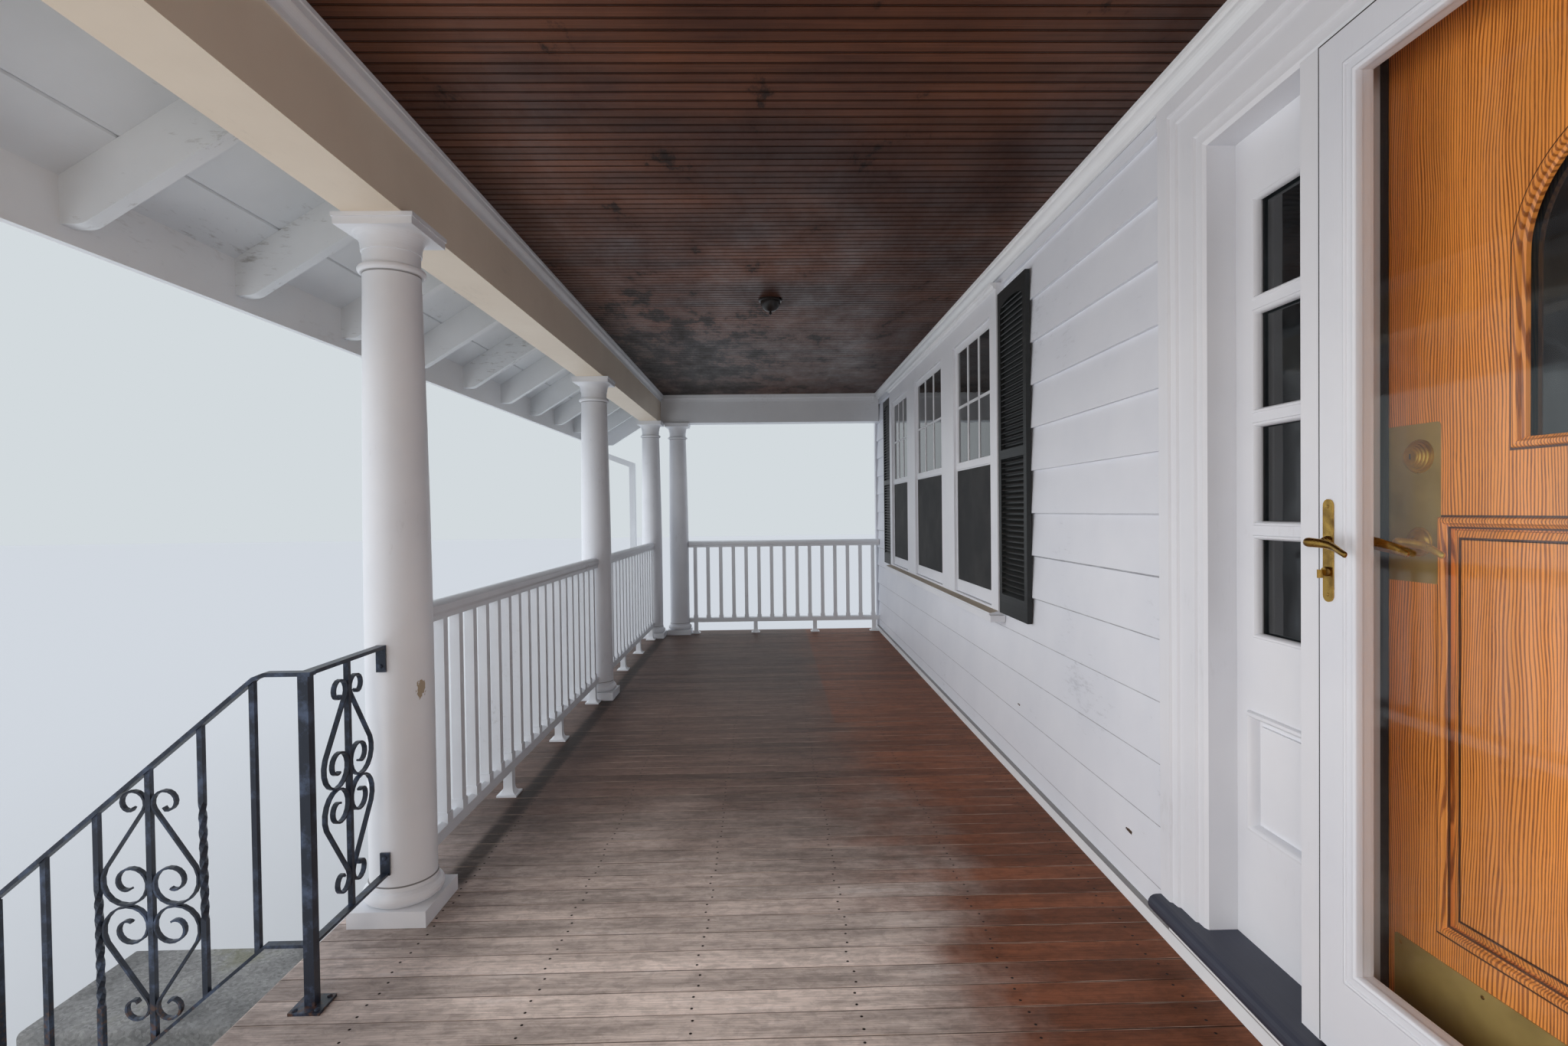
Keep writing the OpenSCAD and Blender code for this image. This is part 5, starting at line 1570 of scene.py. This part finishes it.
        place("deadbolt_keyhole", boxes(slit, slit + wide), IRON, body="inner_leaf")
        screw = np.array([[0, 0], [3.6, 0], [3.0, 0.8], [0, 1.3]]) * MM
        xs = np.linspace(-self.leaf_half + 0.034, self.leaf_half - 0.034, 6)
        heads = np.array([[px, face - 2 * MM, pz] for px in xs
                          for pz in (self.leaf_foot + 0.026, self.leaf_foot + 0.208)])
        place("kick_plate_screws", turned(screw, heads, (0, -1, 0), 12), BRASS, body="inner_leaf",
              smooth=35)

    def plate(self, x0: float, x1: float, z0: float, z1: float, corner: float, thick: float) -> Shell:
        """A sheet with round corners on the oak door's face, as a rounded outline drawn out along Y.

        Args:
            x0, x1, z0, z1: its sides, foot and head.
            corner: radius of the corners.
            thick: how far it stands out.

        Returns:
            The sheet.
        """
        turn = np.radians(np.linspace(0, 90, 5))
        arcs = []
        for k, (cx, cz) in enumerate(((x1 - corner, z1 - corner), (x0 + corner, z1 - corner),
                                      (x0 + corner, z0 + corner), (x1 - corner, z0 + corner))):
            angle = turn + k * np.pi / 2
            arcs.append(np.stack([cx + corner * np.cos(angle), cz + corner * np.sin(angle)], -1))
        return prisms(np.concatenate(arcs)[None], Axis.Y, self.oak_front - thick, self.oak_front)

    def door_stop(self) -> None:
        """A dark rubber strip on the jamb, in front of the oak door's edge on three sides."""
        half, foot, head = 0.459, DECK_Z + 0.147, DECK_Z + 2.078
        path = np.array([[half, foot], [half, head], [-half, head], [-half, foot]])
        strip = np.array([[-0.2, 1.5], [-0.2, 8], [-8, 8], [-13, 4], [-13, 1.5]]) * MM
        place("jamb_weather_strip", moulding(path, strip, self.oak_front, closed=False), RUBBER)

    def sidelights(self) -> None:
        """Beads round each lite, and ledge mouldings over and under the sunk panel."""
        (x0, x1), (z0, z1) = self.side_x, self.lite_z
        height = (z1 - z0 - (self.lites - 1) * self.bar) / self.lites
        bead = np.array([[3, -1], [3, 1], [1, 3], [-3, 3], [-6, 0], [-8, -8], [-8, -14], [3, -14]]) * MM
        ledge = np.array([[6, -1], [6, 3], [3, 9], [-3, 11], [-7, 8], [-9, 2], [-12, -4], [-13, -14],
                          [6, -14]]) * MM
        shells = [moulding(rectangle(x0, x1, low, low + height), bead, self.side_front)
                  for low in z0 + np.arange(self.lites) * (height + self.bar)]
        out = 14 * MM
        shells.append(moulding(rectangle(x0 - out, x1 + out, *self.side_panel_z), ledge, self.side_front))
        place("sidelight_mouldings", mirrored(Shell.join(shells)), WHITE_Z, smooth=35)

    def build(self) -> None:
        """Doors, sidelights and their finishes."""
        self.storm_door()
        self.storm_brass()
        self.oak_door()
        self.oak_brass()
        self.door_stop()
        self.sidelights()
        dress({"door_casing": WHITE_Z, "door_frame": WHITE_Z, "door_sill": SLATE_PAINT, "sidelights": WHITE_Z,
               "sidelight_panes": DARK_PANE, "storm_door": ENAMEL, "storm_pane": CLEAR_PANE,
               "storm_plates": BRASS, "storm_lever": BRASS, "inner_door": OAK, "inner_pane": DARK_PANE,
               "inner_brass": BRASS})


# Stage

@dataclass
class Studio:
    """A pale floor, an even sky, soft lamps and the photograph's camera."""

    focal_mm: float = 17.461
    sensor_mm: float = 36.0
    camera_at: Vec3 = (1.000, 0.3703, 1.9588)
    yaw: float = 0.02024793
    tilt: float = -0.01550816
    roll: float = 0.01233665
    backdrop: str = "#d3dade"
    sky: str = "#f2f6ff"
    sky_strength: float = 0.95
    sun_strength: float = 0.8
    sun_width: float = 40.0
    sun_turn: tuple[float, float] = (70.0, 25.0)
    fill_watts: float = 54.0
    fill_at: Vec3 = (2.2, -0.3, 2.3)
    fill_radius: float = 0.4
    bounce_watts: float = 42.0
    bounce_at: Vec3 = (0.0, -0.60, 1.95)
    bounce_size: tuple[float, float] = (8.0, 1.7)
    eave_watts: float = 60.0
    eave_at: Vec3 = (0.0, -2.6, 0.35)
    eave_size: tuple[float, float] = (12.0, 1.4)
    floor_half: float = 60.0

    def camera(self) -> None:
        """Sets the camera on axes worked out from its yaw, tilt and roll.

        Forward is (-cos yaw cos tilt, sin yaw cos tilt, sin tilt); right and down are square to it, and are
        turned about it by the roll.
        """
        level = math.cos(self.tilt)
        ahead = np.array([-math.cos(self.yaw) * level, math.sin(self.yaw) * level, math.sin(self.tilt)])
        right = np.cross(ahead, [0.0, 0.0, 1.0])
        right /= np.linalg.norm(right)
        down = np.cross(ahead, right)
        c, s = math.cos(self.roll), math.sin(self.roll)
        eye = bpy.data.cameras.new("camera")
        eye.lens = self.focal_mm
        eye.sensor_width = self.sensor_mm
        eye.sensor_fit = "HORIZONTAL"
        eye.clip_start, eye.clip_end = 0.02, 500.0
        holder = bpy.data.objects.new("camera", eye)
        bpy.context.scene.collection.objects.link(holder)
        axes = np.eye(4)
        axes[:3] = np.stack([c * right + s * down, s * right - c * down, -ahead, self.camera_at], -1)
        holder.matrix_world = Matrix(axes.tolist())
        bpy.context.scene.camera = holder

    def world(self) -> None:
        """Plain sky light, and the backdrop's own colour where the camera, mirrors or glass look past it."""
        world = bpy.data.worlds.new("studio")
        world.use_nodes = True
        tree = world.node_tree
        tree.nodes.clear()
        n = Nodes(tree)
        seen = n.add("LightPath", out="Is Camera Ray")
        for ray in ("Is Glossy Ray", "Is Transmission Ray"):
            seen = n.calc("MAXIMUM", seen, n.add("LightPath", out=ray))
        light = n.add("Background", {"Color": linear(self.sky), "Strength": self.sky_strength})
        shown = n.add("Background", {"Color": linear(self.backdrop), "Strength": 1.0})
        output = tree.nodes.new("ShaderNodeOutputWorld")
        n.feed(output, {"Surface": n.add("MixShader", {0: seen, 1: light, 2: shown})})
        bpy.context.scene.world = world

    def lamp(self, name: str, kind: str, watts: float, at: Vec3, turn: Vec3 = (0.0, 0.0, 0.0),
             tint: str = "#ffffff", **settings: object) -> None:
        """Adds a lamp that lights the porch but is not seen by the camera or in mirrors.

        Args:
            name: its name.
            kind: SUN, POINT or AREA.
            watts: its power; for a sun, its strength.
            at: where it stands.
            turn: how it is turned about X, Y and Z, in degrees.
            tint: its colour.
            settings: further properties of the lamp.
        """
        light = bpy.data.lights.new(name, kind)
        light.energy = watts
        light.color = linear(tint)[:3]
        for key, value in settings.items():
            setattr(light, key, value)
        holder = bpy.data.objects.new(name, light)
        holder.location = at
        holder.rotation_euler = [math.radians(angle) for angle in turn]
        holder.visible_glossy = False
        holder.visible_camera = False
        bpy.context.scene.collection.objects.link(holder)

    def lamps(self) -> None:
        """A broad soft sun over the street, its light bounced under the roof and eaves, and a warm fill."""
        tilt, swing = self.sun_turn
        self.lamp("street_sun", "SUN", self.sun_strength, (0.0, -8.0, 4.0), (tilt, 0.0, swing),
                  angle=math.radians(self.sun_width))
        self.lamp("porch_fill", "POINT", self.fill_watts, self.fill_at, tint="#fff0e0",
                  shadow_soft_size=self.fill_radius)
        wide, deep = self.bounce_size
        self.lamp("street_bounce", "AREA", self.bounce_watts, self.bounce_at, (92.0, 0.0, 0.0), "#fdfaf6",
                  shape="RECTANGLE", size=wide, size_y=deep)
        wide, deep = self.eave_size
        self.lamp("ground_bounce", "AREA", self.eave_watts, self.eave_at, (180.0, 0.0, 0.0),
                  shape="RECTANGLE", size=wide, size_y=deep)

    def build(self) -> None:
        """Camera, floor, world and lamps."""
        self.camera()
        h = self.floor_half
        ground = Shell(np.array([[-h, -h, 0], [h, -h, 0], [h, h, 0], [-h, h, 0]], float),
                       [np.array([[0, 1, 2, 3]])])
        plain = bpy.data.materials.new("studio_floor")
        plain.use_nodes = True
        shader = plain.node_tree.nodes["Principled BSDF"]
        shader.inputs["Base Color"].default_value = linear("#d9dcdd")
        shader.inputs["Roughness"].default_value = 0.85
        floor = bpy.data.objects.new("studio_floor", mesh_of("studio_floor", ground, None))
        floor.data.materials.append(plain)
        bpy.context.scene.collection.objects.link(floor)
        self.world()
        self.lamps()
        bpy.context.scene.view_settings.view_transform = "Standard"


def main() -> None:
    """Builds every sub-assembly in order, then the studio."""
    logging.basicConfig(level=logging.INFO, format="%(name)s: %(message)s")
    for part in (Studio(), PorchFloor(), BeadedCeiling(), Roof(), HouseWall(), Colonnade(), StairIron(),
                 Entrance()):
        log.info("building %s", type(part).__name__)
        part.build()


if __name__ == "__main__":
    main()
